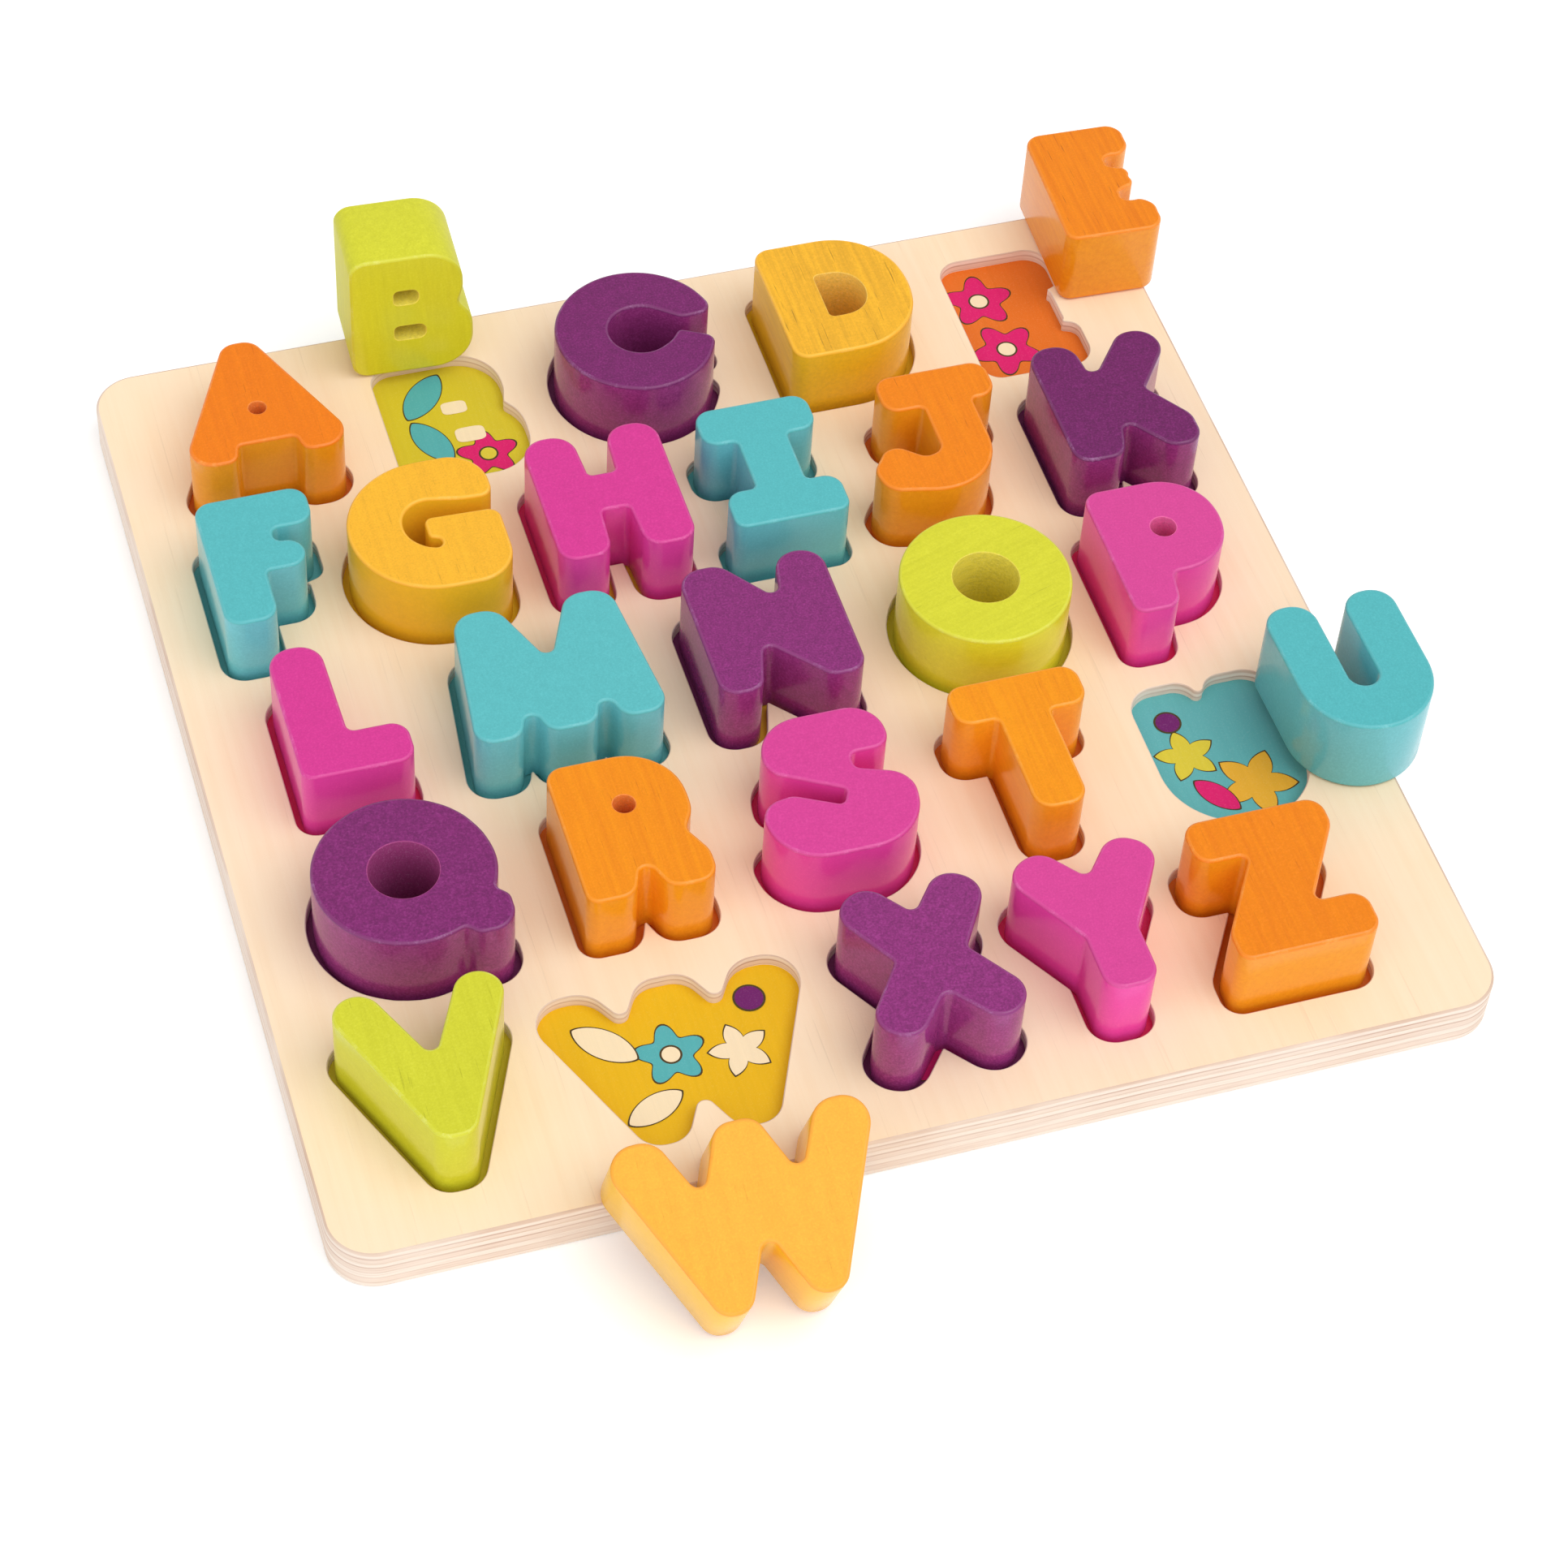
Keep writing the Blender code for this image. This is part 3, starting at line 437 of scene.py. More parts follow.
class Finish:
    """A material under way: its sheet, how it is worked and the place that its patterns are read at."""

    def __init__(self, name: str, make: SurfaceMake, groups: SurfaceGroups, by_letter: bool = False) -> None:
        """Starts the material.

        Args:
            name: The material's name.
            make: How its surface is worked.
            groups: The shared effects.
            by_letter: Whether the patterns follow the letter's own place, or the board's.
        """
        self.make = make
        self.groups = groups
        self.material = bpy.data.materials.new(name)
        self.material.use_nodes = True
        self.sheet = NodeSheet(self.material.node_tree)
        if by_letter:
            self.place = self._stored(GRAIN_PLACE)
        else:
            source = self.sheet.add("ShaderNodeTexCoord").outputs["Object"]
            self.place = self.sheet.vector("MULTIPLY", source, (1 / MM,) * 3)

    def _stored(self, name: str) -> NodeSocket:
        """Returns what the piece's mesh stores under a name."""
        return self.sheet.add("ShaderNodeAttribute", attribute_name=name).outputs["Vector"]

    def _group(self, tree: NodeTree, **values: float) -> NodeOutputs:
        """Places a shared effect with its own values and returns its outputs."""
        return self.sheet.add("ShaderNodeGroup", {"Place": self.place, **values}, node_tree=tree).outputs

    def grain(self) -> NodeOutputs:
        """Places the wood's grain and returns its outputs."""
        return self._group(self.groups.grain, Fineness=self.make.fineness, Shortness=self.make.shortness)

    def pebble(self) -> NodeOutputs:
        """Places the surface's fine pebble and returns its outputs."""
        return self._group(self.groups.pebble, Size=self.make.pebble)

    def rub(self, amount: float) -> NodeSocket:
        """Places the rubbed edge and returns its mask."""
        return self._group(self.groups.rub, Amount=amount)["Mask"]

    def letter_make(self) -> tuple[NodeSocket, NodeSocket, NodeSocket]:
        """Returns how light the letter's coat is, how much grain shows and how worn its edges are."""
        parts = self.sheet.add("ShaderNodeSeparateXYZ", {0: self._stored(LETTER_MAKE)}).outputs
        return parts["X"], parts["Y"], parts["Z"]

    def close(self, colour: object, roughness: object, height: object, gloss: float = FACE_GLOSS) -> Material:
        """Links what changes over the surface to the shader.

        Args:
            colour: The base colour's socket.
            roughness: The roughness socket.
            height: The bump height's socket.
            gloss: The shader's specular level.

        Returns:
            The finished material.
        """
        bumps = {"Height": height, "Strength": BUMP_STRENGTH, "Distance": self.make.bump * MM}
        normal = self.sheet.add("ShaderNodeBump", bumps).outputs["Normal"]
        inputs = {"Base Color": colour, "Roughness": roughness, "Normal": normal, "Specular IOR Level": gloss}
        self.sheet.fill(self.material.node_tree.nodes["Principled BSDF"], inputs)
        return self.material

    def thin_colour(self, tone: Tone, veins: Sequence[float], flecks: Sequence[float]) -> Material:
        """Finishes the material as thin colour that the wood shows through.

        Args:
            tone: The colour.
            veins: The share of darker veins, and how much darker they are.
            flecks: The share of paler flecks, and how much paler they are.

        Returns:
            The finished material.
        """
        grain, pebble = self.grain(), self.pebble()
        dark, pale = tone.towards(BLACK, veins[1]), tone.towards(WHITE, flecks[1])
        colour = self.sheet.tint(tone, grain["Streak"], veins[0], dark)
        colour = self.sheet.tint(colour, pebble["FleckAndGlint"], flecks[0], pale)
        roughness = self.sheet.span(grain["Streak"], WHOLE, self.make.roughness)
        return self.close(colour, roughness, pebble["Height"])


@dataclass(frozen=True)
class PaintFinish:
    """A satin paint over wood: its coat on the letters, and its ink on their recess floors."""

    paint: Paint
    letters: str
    deep: Tone
    light: Tone
    streak: Tone
    # Painted light: the walls' tone is a lighter copy of the coat, standing in for the light and sheen that
    # the sides catch
    wall: Tone
    # rubbed: the tone of worn edges, also used for the painted glints on faces and walls
    rubbed: Tone
    bore: Tone
    floor: Tone
    mottle: float
    wall_mottle: float
    wall_depth: float = 0.06
    wall_gloss: float = WALL_GLOSS
    face_veins: float = 0.55
    face_pores: float = 0.8
    # flecks: pale flecks on the coat's high points of faces and walls, which are painted glints of the satin
    # sheen
    flecks: float = 0.06
    wall_veins: float = 0.3
    least_veins: float = 0.04
    edge_wear: float = 0.46
    edge_pools: tuple[float, float] = (0.3, 0.8)
    bore_veins: float = 0.5
    bore_flecks: float = 0.5
    darker: float = 0.25
    paler: float = 0.3

    def zones(self, groups: SurfaceGroups) -> list[Material]:
        """Makes the paint's materials in the order of Zone."""
        return [self._face(groups), self._wall(groups), self._edge(groups), self._bore(groups)]

    def _start(self, zone: Zone, make: SurfaceMake, groups: SurfaceGroups) -> Finish:
        """Starts the material of one zone of the letters."""
        return Finish(f"{self.paint.value}_{zone.name.lower()}", make, groups, by_letter=True)

    @staticmethod
    def _uneven(finish: Finish, colour: object, height: object, share: float) -> NodeSocket:
        """Makes the coat a little patchy.

        Args:
            finish: The material under way.
            colour: The coat's colour.
            height: The height of the paint's fine pebble.
            share: How much lighter and darker the specks are.

        Returns:
            The colour, lighter and darker in specks and in larger patches.
        """
        sheet = finish.sheet
        speck = sheet.span(height, NOISE_LIMITS, (1.0 - share, 1.0 + share))
        broad = sheet.mapped(COAT_PATCHES, finish.place, (1.0 - share / 2, 1.0 + share / 2))
        return sheet.scaled(colour, sheet.math("MULTIPLY", speck, broad))

    def _face(self, groups: SurfaceGroups) -> Material:
        """Makes the front and back: streaks and pores of grain that show through the coat.

        Args:
            groups: The shared effects.

        Returns:
            The material.
        """
        finish = self._start(Zone.FACE, COAT_FACE, groups)
        sheet, grain, pebble = finish.sheet, finish.grain(), finish.pebble()
        coat, show, _ = finish.letter_make()
        colour = sheet.mix(coat, self.deep, self.light)
        colour = self._uneven(finish, colour, pebble["Height"], self.mottle)
        veins = sheet.math("MULTIPLY", grain["Streak"], show)
        colour = sheet.tint(colour, veins, self.face_veins, self.streak)
        pores = sheet.math("MULTIPLY", sheet.math("MULTIPLY", grain["Pore"], show), self.face_pores)
        colour = sheet.mix(pores, colour, self.streak.towards(BLACK, self.darker))
        # Painted glints: pale flecks where the pebble stands high
        colour = sheet.tint(colour, pebble["FleckAndGlint"], self.flecks, self.rubbed)
        roughness = sheet.span(pebble["Height"], NOISE_LIMITS, COAT_FACE.roughness)
        return finish.close(colour, roughness, sheet.math("SUBTRACT", pebble["Height"], pores))

    def _wall(self, groups: SurfaceGroups) -> Material:
        """Makes the walls: a smooth coat over end grain in a lighter tone of painted light, whose sheen
        changes slowly.

        Args:
            groups: The shared effects.

        Returns:
            The material.
        """
        finish = self._start(Zone.WALL, COAT_WALL, groups)
        sheet, grain, pebble = finish.sheet, finish.grain(), finish.pebble()
        coat, show, _ = finish.letter_make()
        # Painted light: the walls take the lighter wall tone instead of the faces' coat
        colour = sheet.mix(coat, self.wall.towards(BLACK, self.wall_depth), self.wall)
        colour = self._uneven(finish, colour, pebble["Height"], self.wall_mottle)
        veins = sheet.math("MULTIPLY_ADD", show, self.wall_veins, self.least_veins)
        colour = sheet.tint(colour, veins, grain["Streak"], self.streak)
        # Painted glints: pale flecks where the pebble stands high
        colour = sheet.tint(colour, pebble["FleckAndGlint"], self.flecks, self.rubbed)
        roughness = sheet.mapped(WALL_SHEEN, finish.place, COAT_WALL.roughness)
        return finish.close(colour, roughness, pebble["Height"], self.wall_gloss)

    def _edge(self, groups: SurfaceGroups) -> Material:
        """Makes the eased edges: the coat, pooled where it isn't worn, and rubbed thin in a broken line.

        Args:
            groups: The shared effects.

        Returns:
            The material.
        """
        finish = self._start(Zone.EDGE, COAT_EDGE, groups)
        sheet, mask = finish.sheet, finish.rub(self.edge_wear)
        coat, _, worn = finish.letter_make()
        colour = sheet.mix(coat, self.deep, self.light)
        pooled = sheet.math("SUBTRACT", LIGHT_WEAR, worn)
        pooled = sheet.math("MULTIPLY", pooled, sheet.span(mask, WHOLE, self.edge_pools))
        colour = sheet.mix(pooled, colour, sheet.vector("MULTIPLY", colour, colour))
        colour = sheet.tint(colour, mask, worn, self.rubbed)
        roughness = sheet.span(mask, WHOLE, COAT_EDGE.roughness)
        return finish.close(colour, roughness, finish.pebble()["Height"], WALL_GLOSS)

    def _bore(self, groups: SurfaceGroups) -> Material:
        """Makes the drilled holes: thin paint that the cut wood shows through."""
        finish = self._start(Zone.BORE, COAT_BORE, groups)
        return finish.thin_colour(self.bore, (self.bore_veins, self.darker), (self.bore_flecks, self.paler))


@dataclass(frozen=True)
class BareWoodFinish:
    """Clear-lacquered wood with grain along the board's depth."""

    name: str
    pale: Tone
    streak: Tone
    warm: Tone
    warmth: float = 0.5
    pores: float = 0.3
    darker: float = 0.12

    def material(self, groups: SurfaceGroups) -> Material:
        """Makes the material: faint streaks, slow clouds and short pores.

        Args:
            groups: The shared effects.

        Returns:
            The material.
        """
        finish = Finish(self.name, SANDED_FACE, groups)
        sheet, grain, pebble = finish.sheet, finish.grain(), finish.pebble()
        colour = sheet.mix(grain["Streak"], self.pale, self.streak)
        colour = sheet.tint(colour, grain["Cloud"], self.warmth, self.warm)
        colour = sheet.tint(colour, grain["Pore"], self.pores, self.streak.towards(BLACK, self.darker))
        roughness = sheet.span(grain["Streak"], WHOLE, SANDED_FACE.roughness)
        return finish.close(colour, roughness, sheet.math("SUBTRACT", pebble["Height"], grain["Pore"]))


@dataclass(frozen=True)
class Ply:
    """One ply at the board's edge and the line above it, by their heights in millimetres."""

    low: float
    high: float
    tone: Tone
    line: float
    line_tone: Tone

    def stops(self) -> list[tuple[float, Tone]]:
        """Returns the heights where the edge's colour is set, each with its tone."""
        return [(self.low, self.tone), (self.high, self.tone), (self.line, self.line_tone)]


@dataclass(frozen=True)
class PlyEdgeFinish:
    """The sanded edge of the plywood: pale plies with brown lines between them."""

    name: str
    total: float
    plies: tuple[Ply, ...]
    pale: Tone
    fibre: Tone
    sway: float = 0.45
    most_fade: float = 0.75
    most_fibre: float = 0.4
    fibre_stretch: tuple[float, float, float] = (0.06, 0.06, 2.6)

    def material(self, groups: SurfaceGroups) -> Material:
        """Makes the material: bands by height, which fade in and out along the edge, under fine fibres.

        Args:
            groups: The shared effects.

        Returns:
            The material.
        """
        finish = Finish(self.name, SANDED_EDGE, groups)
        sheet, place = finish.sheet, finish.place
        height = sheet.add("ShaderNodeSeparateXYZ", {0: place}).outputs["Z"]
        height = sheet.math("ADD", height, sheet.mapped(PLY_SWAY, place, (-self.sway, self.sway)))
        ramp = sheet.add("ShaderNodeValToRGB", {0: sheet.math("DIVIDE", height, self.total)})
        stops = ramp.color_ramp.elements
        bands = [band for ply in self.plies for band in ply.stops()]
        while len(stops) < len(bands):
            stops.new(1.0)
        for stop, (level, tone) in zip(stops, bands):
            stop.position = level / self.total
            stop.color = tone.linear()
        fade = sheet.mapped(PLY_FADE, place, (0.0, self.most_fade))
        colour = sheet.mix(fade, ramp.outputs[0], self.pale)
        fibre = sheet.noise(PLY_FIBRE, sheet.vector("MULTIPLY", place, self.fibre_stretch))
        dark = sheet.span(fibre, PLY_FIBRE.limits, (0.0, self.most_fibre))
        colour = sheet.mix(dark, colour, self.fibre)
        return finish.close(colour, sheet.span(fibre, NOISE_LIMITS, SANDED_EDGE.roughness), fibre)


@dataclass(frozen=True)
class PrintFinish:
    """Ink printed on a recess floor."""

    name: str
    ink: Tone
    veins: float = 0.12
    darker: float = 0.2
    flecks: float = 0.2
    paler: float = 0.35

    def material(self, groups: SurfaceGroups) -> Material:
        """Makes the material: ink that lies thinner along the grain of the floor."""
        finish = Finish(self.name, PRINTED_FLOOR, groups)
        return finish.thin_colour(self.ink, (self.veins, self.darker), (self.flecks, self.paler))


def of_kind(made: Iterable[object], kind: type) -> list:
    """Returns the parts of an operator's result that are of one kind."""
    return [part for part in made if isinstance(part, kind)]


def into_scene(name: str, data: object) -> Object:
    """Makes an object.

    Args:
        name: The object's name.
        data: Its mesh, lamp or camera.

    Returns:
        The object, in the scene.
    """
    made = bpy.data.objects.new(name, data)
    bpy.context.scene.collection.objects.link(made)
    return made


def mesh_object(name: str, mesh: BMesh, materials: Iterable[Material]) -> Object:
    """Makes an object from a bmesh, and frees the bmesh.

    Args:
        name: The object's name.
        mesh: Its shape.
        materials: Its materials, in the order of its slots.

    Returns:
        The object, at the origin.
    """
    data = bpy.data.meshes.new(name)
    mesh.to_mesh(data)
    mesh.free()
    for material in materials:
        data.materials.append(material)
    return into_scene(name, data)


class Outline:
    """A closed outline whose sides are bent back into the arcs that the CAD facets stand for."""

    def __init__(self, corners: np.ndarray) -> None:
        """Bends the sides and finds which way the wood lies.

        Args:
            corners: The facets' corners, in order.
        """
        ahead = np.roll(corners, -1, axis=0)
        self.area = float(np.sum(corners[:, 0] * ahead[:, 1] - corners[:, 1] * ahead[:, 0]) / 2)
        if self.area < 0:
            corners = corners[::-1]
        self.points = self._bent(corners)
        self.outward = self._mitres(self.points)

    @staticmethod
    def _bent(corners: np.ndarray) -> np.ndarray:
        """Replaces each side by an arc that meets its neighbours without a corner.

        Args:
            corners: The facets' corners, anticlockwise.

        Returns:
            The points of the smooth outline.
        """
        count = len(corners)
        sides = np.roll(corners, -1, axis=0) - corners
        lengths = np.hypot(sides[:, 0], sides[:, 1])
        headings = np.arctan2(sides[:, 1], sides[:, 0])
        turns = (headings - np.roll(headings, 1) + math.pi) % math.tau - math.pi
        rows = np.zeros((2 * count, count))
        wanted = np.zeros(2 * count)
        for index in range(count):
            rows[index, index] = rows[index, index - 1] = 0.5
            wanted[index] = turns[index]
            long_sides = min(lengths[index] / LONG_SIDE, MOST_LONG_SIDES)
            rows[count + index, index] = STRAIGHT_WEIGHT * long_sides**2 + LEAST_WEIGHT
        bends = np.linalg.lstsq(rows, wanted, rcond=None)[0]
        bends = np.clip(bends, -MOST_SIDE_TURN, MOST_SIDE_TURN)
        points = []
        for index in range(count):
            bend, length = float(bends[index]), float(lengths[index])
            sag = length * abs(bend) / 8
            steps = max(1, math.ceil(math.sqrt(sag / FINE_SAG)))
            at = corners[index].copy()
            chord = length * math.sin(bend / (2 * steps)) / math.sin(bend / 2) if steps > 1 else length
            for step in range(steps):
                points.append(at.copy())
                heading = headings[index] - bend / 2 + bend * (step + 0.5) / steps
                at += chord * np.array((math.cos(heading), math.sin(heading)))
        return np.array(points)

    @staticmethod
    def _mitres(points: np.ndarray) -> np.ndarray:
        """Finds how each point moves when the outline grows by one.

        Args:
            points: The outline, anticlockwise.

        Returns:
            One vector for each point.
        """
        sides = np.roll(points, -1, axis=0) - points
        normals = np.column_stack((sides[:, 1], -sides[:, 0])) / np.hypot(sides[:, 0], sides[:, 1])[:, None]
        before = np.roll(normals, 1, axis=0)
        spread = 1.0 + np.sum(normals * before, axis=1)
        return (normals + before) / np.maximum(spread, LEAST_SPREAD)[:, None]

    def grown(self, by: float) -> np.ndarray:
        """Returns the outline moved outward by a distance."""
        return self.points + self.outward * by

    def middle(self) -> np.ndarray:
        """Returns the middle of the outline's box."""
        return (self.points.min(axis=0) + self.points.max(axis=0)) / 2


class FlatSolid:
    """A flat CAD solid read back as outlines in its own plane."""

    def __init__(self, node: Object, facing: Facing, top: bool) -> None:
        """Reads the solid.

        Args:
            node: The CAD node's object, which isn't changed.
            facing: Roughly where its front face points.
            top: Whether the outlines are read at the top of its walls, or at their foot.
        """
        mesh = bmesh.new()
        mesh.from_mesh(node.data)
        bmesh.ops.remove_doubles(mesh, verts=mesh.verts, dist=MERGE_GAP)
        mesh.normal_update()
        self.place = self._axes(mesh, Vector(facing.value))
        bmesh.ops.transform(mesh, matrix=self.place.inverted(), verts=mesh.verts)
        mesh.normal_update()
        heights = [vert.co.z for vert in mesh.verts]
        self.bottom, self.top = min(heights), max(heights)
        self.outlines = [Outline(loop) for loop in self._loops(mesh, top)]
        self.outer = max(self.outlines, key=lambda outline: abs(outline.area))
        mesh.free()

    @staticmethod
    def _axes(mesh: BMesh, hint: Vector) -> Matrix:
        """Finds the solid's own frame.

        Args:
            mesh: The merged copy of the solid.
            hint: Roughly where the front face points.

        Returns:
            The matrix from the frame to the world: its z leaves the front face, and its origin is the
            middle of the solid.
        """
        best = max(mesh.faces, key=lambda face: face.normal.dot(hint)).normal.copy()
        front = Vector()
        for face in mesh.faces:
            if face.normal.dot(best) > SAME_FACING:
                front += face.normal * face.calc_area()
        front.normalize()
        rise = Vector((0.0, 1.0, 1.0))
        rise = (rise - front * rise.dot(front)).normalized()
        turn = Matrix((rise.cross(front), rise, front)).transposed()
        corners = np.array([turn.transposed() @ vert.co for vert in mesh.verts])
        middle = Vector((corners.min(axis=0) + corners.max(axis=0)) / 2)
        return Matrix.Translation(turn @ middle) @ turn.to_4x4()

    def _loops(self, mesh: BMesh, top: bool) -> list[np.ndarray]:
        """Walks the rims where the walls end.

        Args:
            mesh: The merged copy, in the solid's own frame.
            top: Whether to walk the upper rims or the lower ones.

        Returns:
            One array of points for each closed rim.
        """
        middle = (self.bottom + self.top) / 2
        links: dict[int, list[int]] = {}
        for edge in mesh.edges:
            slopes = sorted(abs(face.normal.z) for face in edge.link_faces)
            is_rim = len(slopes) == 2 and slopes[0] < WALL_SLOPE and slopes[1] > RIM_SLOPE
            if is_rim and (sum(vert.co.z for vert in edge.verts) / 2 > middle) == top:
                first, second = (vert.index for vert in edge.verts)
                links.setdefault(first, []).append(second)
                links.setdefault(second, []).append(first)
        mesh.verts.ensure_lookup_table()
        loops = []
        while links:
            walk = [next(iter(links))]
            while True:
                ahead = [index for index in links.pop(walk[-1]) if index in links]
                if not ahead:
                    break
                walk.append(ahead[0])
            loops.append(np.array([mesh.verts[index].co[:2] for index in walk]))
        return loops


@dataclass(frozen=True)
class Ring:
    """One level of a raised piece: how far it draws back into the wood, its height, and the zone below it."""

    inset: float
    height: float
    zone: Zone


def rounded_rise(low: float, high: float, foot: float, rim: float, segments: int) -> list[Ring]:
    """Lists the rings of a wall with a rounded foot and rim.

    Args:
        low: The height of the lower face.
        high: The height of the upper face.
        foot: The radius of the lower edge, or 0 for none.
        rim: The radius of the upper edge, or 0 for none.
        segments: How many strips each round has.

    Returns:
        The rings from bottom to top.
    """
    rings = []
    turns = [QUARTER_TURN * step / segments for step in range(segments + 1)]
    for turn in turns if foot else turns[:1]:
        rings.append(Ring(foot * (1 - math.sin(turn)), low + foot * (1 - math.cos(turn)), Zone.EDGE))
    rings.append(Ring(0.0, high - rim, Zone.WALL))
    for turn in turns[1:] if rim else []:
        rings.append(Ring(rim * (1 - math.cos(turn)), high - rim + rim * math.sin(turn), Zone.EDGE))
    return rings


@dataclass(frozen=True)
class LetterMake:
    """How one letter came out of the workshop: its coat, its grain, how it was cut, and its painted light if
    it stands.
    """

    coat: float
    grain: float
    turn: float = 0.0
    facing: Facing = Facing.UP
    worn: float = LIGHT_WEAR
    # Painted light: a standing letter's front takes the walls' lighter tone, and its walls take the faces'
    # coat
    swap_painted_light: bool = False


class RaisedPiece:
    """A closed mesh raised ring by ring from outlines, with flat faces below and above."""

    def __init__(self, name: str) -> None:
        """Starts an empty mesh.

        Args:
            name: The piece's name.
        """
        self.name = name
        self.mesh = bmesh.new()
        self.layer = self.mesh.verts.layers.int.new(PLACE_LAYER)
        self.feet: list[BMEdge] = []
        self.tops: list[BMEdge] = []

    def raise_wall(self, outline: Outline, rings: Sequence[Ring], is_hole: bool, bore: bool = False) -> None:
        """Raises one outline through its rings.

        Args:
            outline: The outline to raise.
            rings: Its levels, from bottom to top.
            is_hole: Whether the wood lies outside the outline.
            bore: Whether the whole wall is finished as a drilled hole.
        """
        sign = 1.0 if is_hole else -1.0
        levels = [outline.grown(sign * ring.inset) for ring in rings]
        verts = []
        for index, point in enumerate(levels[0]):
            vert = self.mesh.verts.new((point[0], point[1], rings[0].height))
            vert[self.layer] = index
            verts.append(vert)
        edges = [self.mesh.edges.new(pair) for pair in zip(verts, verts[1:] + verts[:1])]
        self.feet += edges
        for ring, level in zip(rings[1:], levels[1:]):
            made = bmesh.ops.extrude_edge_only(self.mesh, edges=edges)["geom"]
            moved = set(of_kind(made, BMVert))
            for vert in moved:
                point = level[vert[self.layer]]
                vert.co = (point[0], point[1], ring.height)
            for face in of_kind(made, BMFace):
                face.material_index = Zone.BORE.value if bore else ring.zone.value
                face.smooth = True
            edges = [edge for edge in of_kind(made, BMEdge) if set(edge.verts) <= moved]
        self.tops += edges

    def close(self) -> None:
        """Fills the lower and upper faces and turns every face outwards."""
        for rim in (self.feet, self.tops):
            made = bmesh.ops.triangle_fill(self.mesh, use_beauty=True, edges=rim, normal=(0.0, 0.0, 1.0))
            for face in of_kind(made["geom"], BMFace):
                face.material_index = Zone.FACE.value
            for edge in rim:
                edge.smooth = False
        bmesh.ops.recalc_face_normals(self.mesh, faces=self.mesh.faces)

    def finish(
        self,
        place: Matrix,
        materials: Iterable[Material],
        grain_step: float = 0.0,
        make: LetterMake | None = None,
    ) -> Object:
        """Puts the mesh in its place and makes it an object.

        Args:
            place: The matrix from the piece's own frame to the world.
            materials: The materials in the order of Zone.
            grain_step: How far along the grain this piece is cut from the plank, in millimetres.
            make: The letter's own coat and grain, or none for a piece that isn't a letter.

        Returns:
            The object, at the origin.
        """
        turn = Matrix.Rotation(make.turn if make else 0.0, 3, "Z")
        own = [turn @ vert.co / MM for vert in self.mesh.verts]
        bmesh.ops.transform(self.mesh, matrix=place, verts=self.mesh.verts)
        piece = mesh_object(self.name, self.mesh, materials)
        attributes = piece.data.attributes
        attributes.remove(attributes[PLACE_LAYER])
        if make:
            shifted = np.array(own) + (0.0, grain_step, grain_step / 2)
            same = np.tile((make.coat, make.grain, make.worn), (len(own), 1))
            for name, values in ((GRAIN_PLACE, shifted), (LETTER_MAKE, same)):
                stored = attributes.new(name, "FLOAT_VECTOR", "POINT")
                stored.data.foreach_set("vector", values.astype(np.float32).ravel())
        return piece


@dataclass
class LetterBlock:
    """One painted letter that replaces its CAD solid."""

    letter: str
    paint: Paint
    make: LetterMake
    ease: float = 0.8 * MM
    hole_ease: float = 0.25 * MM
    strips: int = 4

    def build(self, node: Object, zones: Sequence[Material]) -> Object:
        """Raises the letter from its solid's outline and dresses it.

        Args:
            node: The letter's CAD node.
            zones: The materials in the order of Zone.

        Returns:
            The letter.
        """
        solid = FlatSolid(node, self.make.facing, top=True)
        piece = RaisedPiece(f"letter_{self.letter}_block")
        for outline in solid.outlines:
            is_hole = outline is not solid.outer
            ease = self.hole_ease if is_hole else self.ease
            rings = rounded_rise(solid.bottom, solid.top, ease, ease, self.strips)
            piece.raise_wall(outline, rings, is_hole, bore=is_hole)
        piece.close()
        step = LETTER_STEP * ascii_lowercase.index(self.letter)
        # Painted light: a standing letter swaps its face and wall materials, so its upright front gets the
        # lighter wall tone
        face, wall, *rest = zones
        dressed = (wall, face, *rest) if self.make.swap_painted_light else zones
        made = piece.finish(solid.place, dressed, step, self.make)
        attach(made, f"letter_{self.letter}")
        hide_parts(f"letter_{self.letter}")
        return made


@dataclass
class Motif:
    """A plain shape printed in a recess, with a dark line round it unless it is a patch."""

    shape: MotifShape
    x: float
    y: float
    reach: float
    turn: float
    ink: Ink
    line: float = 0.55

    def stamp(self, mesh: BMesh, centre: np.ndarray, low: float, slots: dict[Ink, int]) -> None:
        """Adds the shape and the line under it.

        Args:
            mesh: The mesh to add to.
            centre: The recess's middle.
            low: The height of the floor print.
            slots: Each ink's material slot.
        """
        layers = [(self.reach, self.ink, 2 * LAYER_RISE)]
        if self.shape is not MotifShape.PATCH:
            layers.append((self.reach + self.line, Ink.LINE, LAYER_RISE))
        turn = Matrix.Rotation(self.turn, 3, "Z")
        shift = (centre[0] + self.x * MM, centre[1] + self.y * MM, low)
        for reach, ink, rise in layers:
            made = bmesh.ops.create_circle(mesh, cap_ends=True, segments=MOTIF_CORNERS, radius=1.0)["verts"]
            for vert in made:
                across, along = self.shape.point(vert.co.x, vert.co.y)
                vert.co = (across * reach * MM, along * reach * MM, 0.0)
            bmesh.ops.rotate(mesh, verts=made, cent=(0, 0, 0), matrix=turn)
            bmesh.ops.translate(mesh, verts=made, vec=shift)
            cap = made[0].link_faces[0]
            cap.material_index = slots[ink]
            raised = bmesh.ops.extrude_face_region(mesh, geom=[cap])["geom"]
            bmesh.ops.translate(mesh, verts=of_kind(raised, BMVert), vec=(0.0, 0.0, rise))


